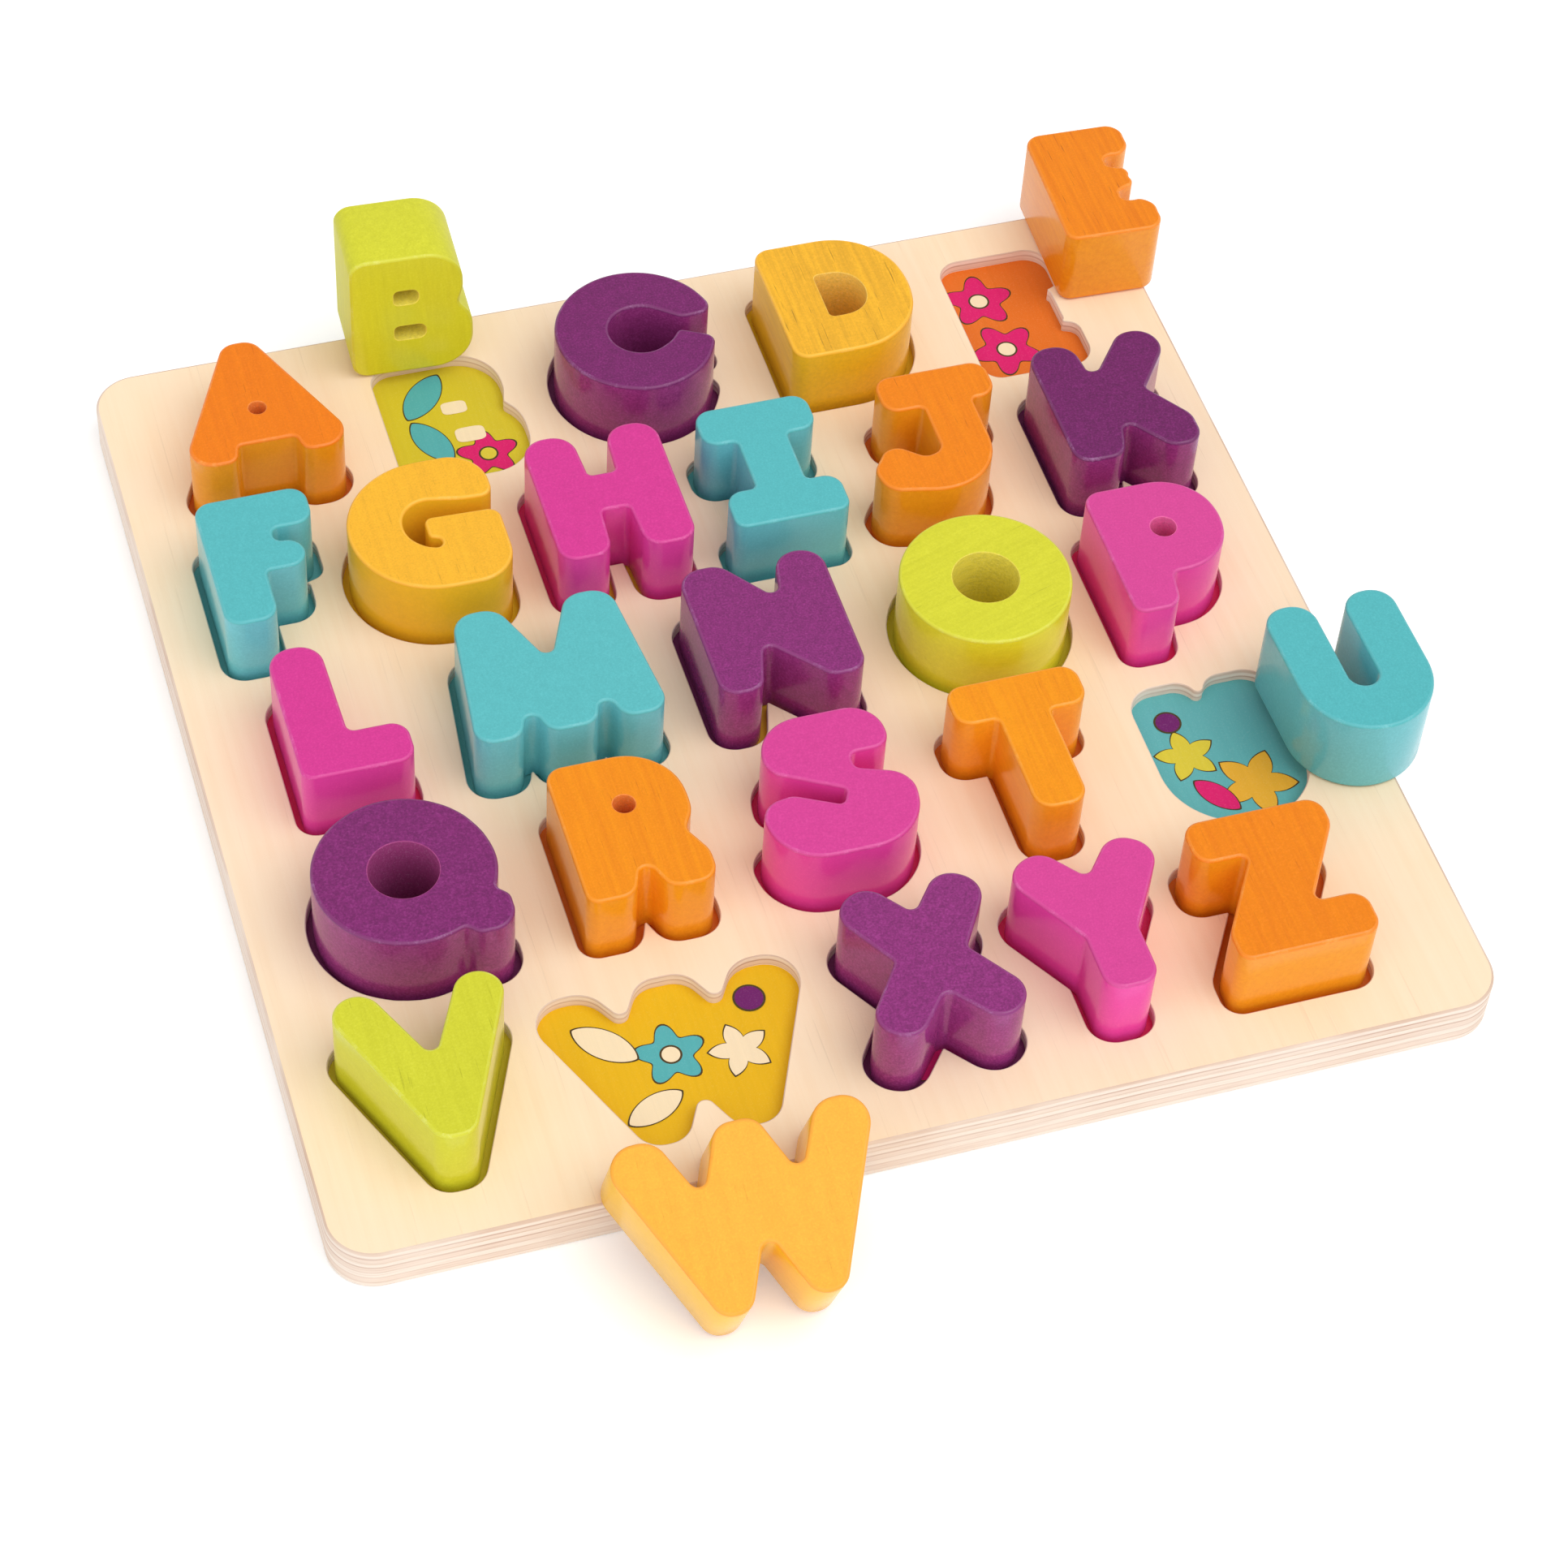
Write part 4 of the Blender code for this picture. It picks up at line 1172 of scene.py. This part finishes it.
@dataclass
class FloorPrint:
    """The printed floor of one recess."""

    letter: str
    ink: Tone
    slot: Paint
    motifs: Sequence[Motif]
    low: float = 9.705 * MM
    high: float = 9.76 * MM
    margin: float = 0.4 * MM

    def build(self, outline: Outline, groups: SurfaceGroups, inks: dict[Ink, Material]) -> list[Object]:
        """Lays the print under the recess and stamps its motifs.

        Args:
            outline: The recess's outline.
            groups: The shared effects.
            inks: The materials of the motif inks.

        Returns:
            The print and its motifs.
        """
        wide = RaisedPiece(f"floor_print_{self.letter}")
        ground = [Ring(0.0, self.low, Zone.FACE), Ring(0.0, self.high, Zone.FACE)]
        outline.points = outline.grown(self.margin)
        wide.raise_wall(outline, ground, is_hole=False)
        wide.close()
        ink = PrintFinish(f"print_{self.letter}", self.ink).material(groups)
        pieces = [wide.finish(Matrix.Identity(4), [ink]), self._stamped(outline, inks)]
        for piece in pieces:
            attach(piece, "board")
        return pieces

    def _stamped(self, outline: Outline, inks: dict[Ink, Material]) -> Object:
        """Stamps the motifs as one mesh.

        Args:
            outline: The recess's outline.
            inks: The materials of the motif inks.

        Returns:
            The motifs.
        """
        mesh = bmesh.new()
        slots = {ink: index for index, ink in enumerate(inks)}
        for index, motif in enumerate(self.motifs):
            motif.stamp(mesh, outline.middle(), self.high + 2 * index * LAYER_RISE, slots)
        bmesh.ops.recalc_face_normals(mesh, faces=mesh.faces)
        return mesh_object(f"floor_motif_{self.letter}", mesh, inks.values())


@dataclass
class PuzzleBoard:
    """The two glued sheets: a plain base, and a face sheet with a recess for each letter."""

    sheet_low: float = 9.77 * MM
    outer_ease: float = 0.7 * MM
    recess_ease: float = 0.3 * MM
    strips: int = 4
    recess_strips: int = 2

    def build_base(self, node: Object, zones: Sequence[Material]) -> Object:
        """Raises the base sheet, rounded at its foot.

        Args:
            node: The base's CAD node.
            zones: The materials in the order of Zone.

        Returns:
            The base sheet.
        """
        solid = FlatSolid(node, Facing.UP, top=True)
        rings = rounded_rise(solid.bottom, solid.top, self.outer_ease, 0.0, self.strips)
        piece = RaisedPiece("base_sheet_ply")
        piece.raise_wall(solid.outer, rings, is_hole=False)
        piece.close()
        return self._fixed(piece.finish(solid.place, zones), "base_sheet")

    def build_face(self, node: Object, zones: Sequence[Material]) -> tuple[Object, list[Outline]]:
        """Raises the face sheet, rounded at its outer rim and just broken at each recess.

        Args:
            node: The face sheet's CAD node.
            zones: The materials in the order of Zone.

        Returns:
            The face sheet, and the recess outlines in the world's frame.
        """
        solid = FlatSolid(node, Facing.UP, top=False)
        low = self.sheet_low - solid.place.translation.z
        recesses = [outline for outline in solid.outlines if outline is not solid.outer]
        rim = rounded_rise(low, solid.top, 0.0, self.outer_ease, self.strips)
        recess_rim = rounded_rise(low, solid.top, 0.0, self.recess_ease, self.recess_strips)
        piece = RaisedPiece("recess_sheet_ply")
        piece.raise_wall(solid.outer, rim, is_hole=False)
        for recess in recesses:
            piece.raise_wall(recess, recess_rim, is_hole=True)
        piece.close()
        made = self._fixed(piece.finish(solid.place, zones), "recess_sheet")
        for recess in recesses:
            recess.points = recess.points + np.array(solid.place.translation[:2])
        return made, recesses

    @staticmethod
    def _fixed(piece: Object, node: str) -> Object:
        """Puts a sheet on the board in place of a CAD node.

        Args:
            piece: The sheet.
            node: The CAD node's name.

        Returns:
            The sheet.
        """
        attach(piece, "board")
        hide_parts(node)
        return piece


@dataclass(frozen=True)
class SunLamp:
    """A broad lamp: its strength, how wide it is, and the direction that its light comes from."""

    name: str
    strength: float
    width: float
    source: tuple[float, float, float]


@dataclass
class Studio:
    """The white floor, the soft light and the camera."""

    lens: float = 94.36
    sensor: float = 36.0
    azimuth: float = math.radians(-20.414)
    elevation: float = math.radians(50.396)
    roll: float = math.radians(4.328)
    distance: float = 1.07846
    target: tuple[float, float, float] = (-1.473 * MM, -26.671 * MM, 0.0)
    floor_half: float = 6.0
    floor_squares: int = 4
    floor_gap: float = 0.2 * MM
    floor_lift: float = 0.22
    paper: Tone = Tone(250, 250, 250)
    paper_roughness: float = 0.9
    world_level: float = 0.62
    suns: tuple[SunLamp, ...] = (
        SunLamp("studio_key", 1.25, math.radians(50), (0.42, -0.35, 1.0)),
        SunLamp("studio_fill", 0.9, math.radians(80), (-0.55, -0.75, 0.35)),
    )

    def set_camera(self) -> Object:
        """Stands the camera where the photograph was taken from.

        Returns:
            The camera.
        """
        sin_e, cos_e = math.sin(self.elevation), math.cos(self.elevation)
        sin_a, cos_a = math.sin(self.azimuth), math.cos(self.azimuth)
        back = Vector((sin_a * cos_e, -cos_a * cos_e, sin_e))
        level = Vector((cos_a, sin_a, 0.0))
        rise = back.cross(level)
        across = level * math.cos(self.roll) + rise * math.sin(self.roll)
        upward = rise * math.cos(self.roll) - level * math.sin(self.roll)
        data = bpy.data.cameras.new("studio_camera")
        data.sensor_fit = "HORIZONTAL"
        data.sensor_width = self.sensor
        data.lens = self.lens
        camera = into_scene(data.name, data)
        turn = Matrix((across, upward, back)).transposed().to_4x4()
        camera.matrix_world = Matrix.Translation(Vector(self.target) + back * self.distance) @ turn
        bpy.context.scene.camera = camera
        return camera

    @staticmethod
    def _seen(sheet: NodeSheet) -> NodeSocket:
        """Tells the rays that show the backdrop itself, straight, mirrored or through glass.

        Args:
            sheet: The sheet to add to.

        Returns:
            1 for such a ray, and 0 for one that only lights the object.
        """
        ray = sheet.add("ShaderNodeLightPath").outputs
        seen = sheet.math("MAXIMUM", ray["Is Camera Ray"], ray["Is Transmission Ray"])
        return sheet.math("MAXIMUM", seen, ray["Is Glossy Ray"])

    def set_light(self) -> list[Object]:
        """Lights the object with an even room, a broad key and a fill.

        Returns:
            The two lamps.
        """
        world = bpy.data.worlds.new("studio_room")
        world.use_nodes = True
        bpy.context.scene.world = world
        sheet = NodeSheet(world.node_tree)
        level = sheet.span(self._seen(sheet), WHOLE, (self.world_level, 1.0))
        sheet.fill(world.node_tree.nodes["Background"], {"Color": WHITE, "Strength": level})
        lamps = []
        for sun in self.suns:
            data = bpy.data.lights.new(sun.name, "SUN")
            data.energy = sun.strength
            data.angle = sun.width
            lamp = into_scene(sun.name, data)
            lamp.rotation_euler = Vector(sun.source).to_track_quat("Z", "Y").to_euler()
            lamps.append(lamp)
        return lamps

    def _paper(self) -> Material:
        """Makes the floor's paper, with a little light of its own where it is seen, so that it is white.

        Returns:
            The material.
        """
        material = bpy.data.materials.new("studio_paper")
        material.use_nodes = True
        sheet = NodeSheet(material.node_tree)
        inputs = {"Base Color": self.paper, "Roughness": self.paper_roughness, "Specular IOR Level": 0.0}
        inputs["Emission Color"] = WHITE
        inputs["Emission Strength"] = sheet.math("MULTIPLY", self._seen(sheet), self.floor_lift)
        sheet.fill(material.node_tree.nodes["Principled BSDF"], inputs)
        return material

    def lay_floor(self, level: float) -> Object:
        """Lays the floor just under the object.

        Args:
            level: The object's lowest height.

        Returns:
            The floor.
        """
        mesh = bmesh.new()
        squares = self.floor_squares
        lie = Matrix.Translation((0.0, 0.0, level - self.floor_gap))
        bmesh.ops.create_grid(mesh, x_segments=squares, y_segments=squares, size=self.floor_half, matrix=lie)
        floor = mesh_object("studio_floor", mesh, [self._paper()])
        floor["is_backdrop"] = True
        return floor


# Each letter's lightness of coat and show of grain, from 0 to 1, and what else sets it apart
LETTER_MAKES: dict[str, LetterMake] = {
    "a": LetterMake(0.1, 0.4),
    # B stands, so its front and walls swap their painted light
    "b": LetterMake(0.6, 0.45, facing=Facing.FORWARD, swap_painted_light=True),
    "c": LetterMake(0.25, 0.1),
    "d": LetterMake(0.2, 1.0),
    "e": LetterMake(0.4, 0.75),
    "f": LetterMake(0.5, 0.0),
    "g": LetterMake(0.3, 0.4),
    "h": LetterMake(0.1, 0.0),
    "i": LetterMake(0.4, 0.0),
    "j": LetterMake(0.35, 0.5),
    "k": LetterMake(0.05, 0.1),
    "l": LetterMake(0.1, 0.0),
    "m": LetterMake(0.9, 0.0),
    "n": LetterMake(0.8, 0.1),
    "o": LetterMake(0.9, 0.45, 0.8 * QUARTER_TURN),
    "p": LetterMake(0.9, 0.1),
    "q": LetterMake(0.5, 0.1),
    "r": LetterMake(0.7, 0.5),
    "s": LetterMake(0.55, 0.0),
    "t": LetterMake(0.95, 0.5),
    "u": LetterMake(0.2, 0.0),
    "v": LetterMake(0.25, 0.5),
    "w": LetterMake(0.95, 0.3, facing=Facing.LEANING, worn=0.0),
    "x": LetterMake(1.0, 0.1),
    "y": LetterMake(0.75, 0.0),
    "z": LetterMake(0.35, 0.5),
}

# Each paint's wall tone is a lighter copy of its coat: painted light and sheen on the sides
PAINTS: tuple[PaintFinish, ...] = (
    PaintFinish(
        Paint.ORANGE,
        "aejrtz",
        deep=Tone(238, 122, 9),
        light=Tone(246, 154, 12),
        streak=Tone(204, 88, 8),
        wall=Tone(252, 161, 28),
        rubbed=Tone(255, 188, 104),
        bore=Tone(252, 145, 64),
        floor=Tone(230, 116, 34),
        mottle=0.05,
        wall_mottle=0.03,
    ),
    PaintFinish(
        Paint.LIME,
        "bov",
        deep=Tone(209, 210, 50),
        light=Tone(217, 215, 53),
        streak=Tone(180, 178, 22),
        wall=Tone(235, 235, 52),
        rubbed=Tone(238, 238, 150),
        bore=Tone(244, 228, 86),
        floor=Tone(216, 197, 44),
        mottle=0.05,
        wall_mottle=0.03,
        wall_depth=0.14,
    ),
    PaintFinish(
        Paint.PURPLE,
        "cknqx",
        deep=Tone(108, 25, 92),
        light=Tone(139, 46, 117),
        streak=Tone(82, 14, 72),
        wall=Tone(152, 55, 126),
        rubbed=Tone(186, 138, 186),
        bore=Tone(171, 70, 132),
        floor=Tone(116, 36, 88),
        mottle=0.26,
        wall_mottle=0.2,
    ),
    PaintFinish(
        Paint.YELLOW,
        "dgw",
        deep=Tone(247, 186, 40),
        light=Tone(251, 177, 57),
        streak=Tone(196, 142, 38),
        wall=Tone(255, 197, 40),
        rubbed=Tone(255, 212, 116),
        bore=Tone(255, 206, 92),
        floor=Tone(234, 184, 18),
        mottle=0.08,
        wall_mottle=0.02,
        wall_gloss=0.2,
    ),
    PaintFinish(
        Paint.TEAL,
        "fimu",
        deep=Tone(82, 180, 185),
        light=Tone(92, 185, 189),
        streak=Tone(58, 156, 166),
        wall=Tone(108, 199, 209),
        rubbed=Tone(152, 216, 222),
        bore=Tone(100, 178, 184),
        floor=Tone(98, 178, 180),
        mottle=0.06,
        wall_mottle=0.05,
    ),
    PaintFinish(
        Paint.MAGENTA,
        "hlpsy",
        deep=Tone(212, 53, 144),
        light=Tone(214, 71, 149),
        streak=Tone(192, 40, 124),
        wall=Tone(238, 70, 168),
        rubbed=Tone(240, 142, 200),
        bore=Tone(244, 108, 172),
        floor=Tone(240, 44, 104),
        mottle=0.07,
        wall_mottle=0.03,
    ),
)

BIRCH_FACE = BareWoodFinish(
    "birch_face", pale=Tone(254, 230, 197), streak=Tone(251, 223, 187), warm=Tone(254, 231, 202)
)

PLY_PALE = Tone(246, 231, 217)
PLY_PINK = Tone(236, 214, 197)
PLY_LINE = Tone(214, 184, 162)
PLY_BROWN = Tone(190, 148, 124)
PLIES: tuple[Ply, ...] = (
    Ply(0.0, 1.5, PLY_PALE, line=1.8, line_tone=PLY_LINE),
    Ply(2.1, 3.5, PLY_PINK, line=3.8, line_tone=PLY_LINE),
    Ply(4.1, 5.6, PLY_PALE, line=5.9, line_tone=PLY_LINE),
    Ply(6.2, 7.6, PLY_PINK, line=8.0, line_tone=PLY_BROWN),
    Ply(8.4, 9.6, PLY_PALE, line=9.9, line_tone=PLY_LINE),
    Ply(10.2, 11.2, PLY_PINK, line=11.6, line_tone=PLY_BROWN),
    Ply(12.0, 12.8, PLY_PALE, line=13.2, line_tone=PLY_LINE),
)
PLY_EDGE = PlyEdgeFinish("birch_ply_edge", total=13.6, plies=PLIES, pale=PLY_PALE, fibre=PLY_BROWN)

DOT, LEAF, FLOWER, STAR, PATCH = MotifShape
_, TEAL, MAGENTA, CREAM, YELLOW, GOLD, PLUM = Ink
# Each motif's shape, its place from the recess's middle and its reach in millimetres, its turn and its ink
MOTIF_ROWS: dict[str, tuple[tuple[MotifShape, float, float, float, float, Ink], ...]] = {
    "a": ((LEAF, -10.5, -13.0, 6.5, 1.2, CREAM), (FLOWER, 0.5, 9.5, 5.0, 0.2, MAGENTA)),
    "b": (
        (LEAF, -5.5, 13.0, 9.5, 0.9, TEAL),
        (LEAF, -7.0, -4.5, 9.0, 2.0, TEAL),
        (FLOWER, 7.0, -12.5, 8.5, 0.3, MAGENTA),
        (DOT, 7.0, -12.5, 2.2, 0.0, YELLOW),
        (PATCH, 2.0, 7.0, 3.6, 0.0, CREAM),
        (PATCH, 4.0, -4.0, 4.2, 0.0, CREAM),
    ),
    "c": ((STAR, -14.5, 3.0, 6.0, 0.3, YELLOW), (LEAF, 0.0, -15.5, 6.5, 0.1, TEAL)),
    "d": ((FLOWER, -12.0, 7.0, 5.5, 0.4, TEAL), (LEAF, 9.0, -13.5, 6.5, 0.6, CREAM)),
    "e": (
        (FLOWER, -7.0, 10.5, 10.0, 0.2, MAGENTA),
        (DOT, -7.0, 10.5, 2.5, 0.0, CREAM),
        (FLOWER, -5.5, -10.0, 10.0, 0.7, MAGENTA),
        (DOT, -5.5, -10.0, 2.5, 0.0, CREAM),
    ),
    "f": ((FLOWER, -8.0, -13.0, 5.5, 0.2, GOLD), (LEAF, 3.0, 15.0, 6.5, 0.2, PLUM)),
    "g": ((STAR, -13.0, 4.0, 6.0, 0.5, CREAM), (FLOWER, 5.0, -13.5, 5.5, 0.1, PLUM)),
    "h": ((LEAF, 0.0, -14.0, 14.0, 1.2, GOLD), (STAR, -12.0, 9.0, 5.5, 0.2, TEAL)),
    "i": ((FLOWER, 0.0, -14.0, 5.5, 0.3, YELLOW), (LEAF, 0.0, 8.0, 7.0, 1.5, MAGENTA)),
    "j": ((STAR, -5.0, -14.0, 6.0, 0.2, YELLOW), (LEAF, 5.0, 6.0, 7.0, 1.4, MAGENTA)),
    "k": ((FLOWER, -12.0, -9.0, 5.5, 0.6, GOLD), (LEAF, 10.0, -13.0, 6.5, -0.9, MAGENTA)),
    "l": ((LEAF, -8.0, 8.0, 7.5, 1.5, TEAL), (FLOWER, 3.0, -14.0, 5.5, 0.3, YELLOW)),
    "m": ((STAR, -13.5, 11.0, 5.5, 0.3, GOLD), (FLOWER, 16.5, -8.0, 5.5, 0.2, MAGENTA)),
    "n": ((LEAF, -5.0, -14.0, 13.0, 1.3, GOLD), (FLOWER, 12.5, 5.0, 5.5, 0.2, TEAL)),
    "o": ((FLOWER, -14.5, 4.0, 5.5, 0.5, MAGENTA), (LEAF, 11.0, -11.5, 6.5, 0.8, TEAL)),
    "p": ((LEAF, -9.5, -13.0, 7.0, 1.4, YELLOW), (STAR, -9.0, 11.0, 6.0, 0.1, TEAL)),
    "q": ((FLOWER, -14.5, 3.0, 5.5, 0.2, YELLOW), (LEAF, 3.0, -15.0, 6.5, 0.2, TEAL)),
    "r": ((STAR, -9.5, 5.0, 5.5, 0.4, CREAM), (LEAF, 10.0, -13.0, 6.5, 1.2, YELLOW)),
    "s": ((LEAF, 2.0, 15.0, 7.0, 0.1, YELLOW), (FLOWER, -3.0, -14.5, 5.5, 0.5, TEAL)),
    "t": ((FLOWER, 0.0, 13.5, 5.5, 0.2, MAGENTA), (LEAF, 0.0, -9.0, 8.0, 1.57, CREAM)),
    "u": (
        (STAR, -9.5, 3.0, 8.5, 0.4, YELLOW),
        (STAR, 5.0, -10.0, 11.0, 1.0, GOLD),
        (LEAF, -6.5, -11.5, 7.0, 2.2, MAGENTA),
        (DOT, -10.5, 15.0, 3.2, 0.0, PLUM),
    ),
    "v": ((LEAF, -12.5, 8.0, 8.0, -1.1, TEAL), (STAR, 0.0, -13.5, 5.5, 0.2, MAGENTA)),
    "w": (
        (FLOWER, -3.0, 3.5, 9.0, 0.3, TEAL),
        (DOT, -3.0, 3.5, 2.3, 0.0, CREAM),
        (STAR, 14.0, 0.5, 8.0, 0.5, CREAM),
        (LEAF, -18.0, 10.5, 9.0, 2.4, CREAM),
        (LEAF, -11.0, -11.0, 8.0, 0.4, CREAM),
        (DOT, 20.5, 15.0, 3.6, 0.0, PLUM),
    ),
    "x": ((LEAF, 0.0, -15.0, 10.0, 0.4, MAGENTA), (STAR, 0.0, 1.0, 6.5, 0.3, GOLD)),
    "y": ((STAR, 0.0, 0.0, 6.0, 0.3, YELLOW), (LEAF, 0.0, -14.0, 6.5, 1.57, TEAL)),
    "z": ((LEAF, -1.0, 15.0, 7.5, 0.1, CREAM), (STAR, 1.0, -14.5, 6.0, 0.3, MAGENTA)),
}


def recesses_by_letter(recesses: Sequence[Outline]) -> dict[str, Outline]:
    """Names the recesses by the rows that they lie in.

    Args:
        recesses: The recess outlines in the world's frame.

    Returns:
        The outline of each letter's recess.
    """
    by_height = sorted(recesses, key=lambda outline: -float(outline.middle()[1]))
    ordered = []
    for count in ROW_COUNTS:
        row = by_height[len(ordered) : len(ordered) + count]
        ordered += sorted(row, key=lambda outline: float(outline.middle()[0]))
    return dict(zip(ascii_lowercase, ordered))


def main() -> None:
    """Builds the puzzle round its frame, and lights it."""
    logging.basicConfig(level=logging.INFO, format="%(name)s: %(message)s")
    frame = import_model()
    cad_box = [list(corner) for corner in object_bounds()]
    nodes = frame["nodes"]
    bpy.context.scene.view_settings.view_transform = "Standard"
    groups = SurfaceGroups()

    studio = Studio()
    LOG.info("camera: %s", studio.set_camera().name)
    for lamp in studio.set_light():
        LOG.info("light: %s", lamp.name)
    LOG.info("floor: %s", studio.lay_floor(cad_box[0][2]).name)

    birch = BIRCH_FACE.material(groups)
    ply = PLY_EDGE.material(groups)
    board_zones = [birch, ply, ply, ply]
    board = PuzzleBoard()
    LOG.info("board: %s", board.build_base(nodes["base_sheet"], board_zones).name)
    sheet, recesses = board.build_face(nodes["recess_sheet"], board_zones)
    LOG.info("board: %s with %d recesses", sheet.name, len(recesses))

    inks = {ink: PrintFinish(f"ink_{ink.name.lower()}", ink.value).material(groups) for ink in Ink}
    floors = recesses_by_letter(recesses)
    for finish in PAINTS:
        zones = finish.zones(groups)
        for letter in finish.letters:
            motifs = [Motif(*row) for row in MOTIF_ROWS[letter]]
            floor_print = FloorPrint(letter, finish.floor, finish.paint, motifs)
            for piece in floor_print.build(floors[letter], groups, inks):
                LOG.info("print: %s", piece.name)
            block = LetterBlock(letter, finish.paint, LETTER_MAKES[letter])
            LOG.info("letter: %s", block.build(nodes[f"letter_{letter}"], zones).name)


if __name__ == "__main__":
    main()
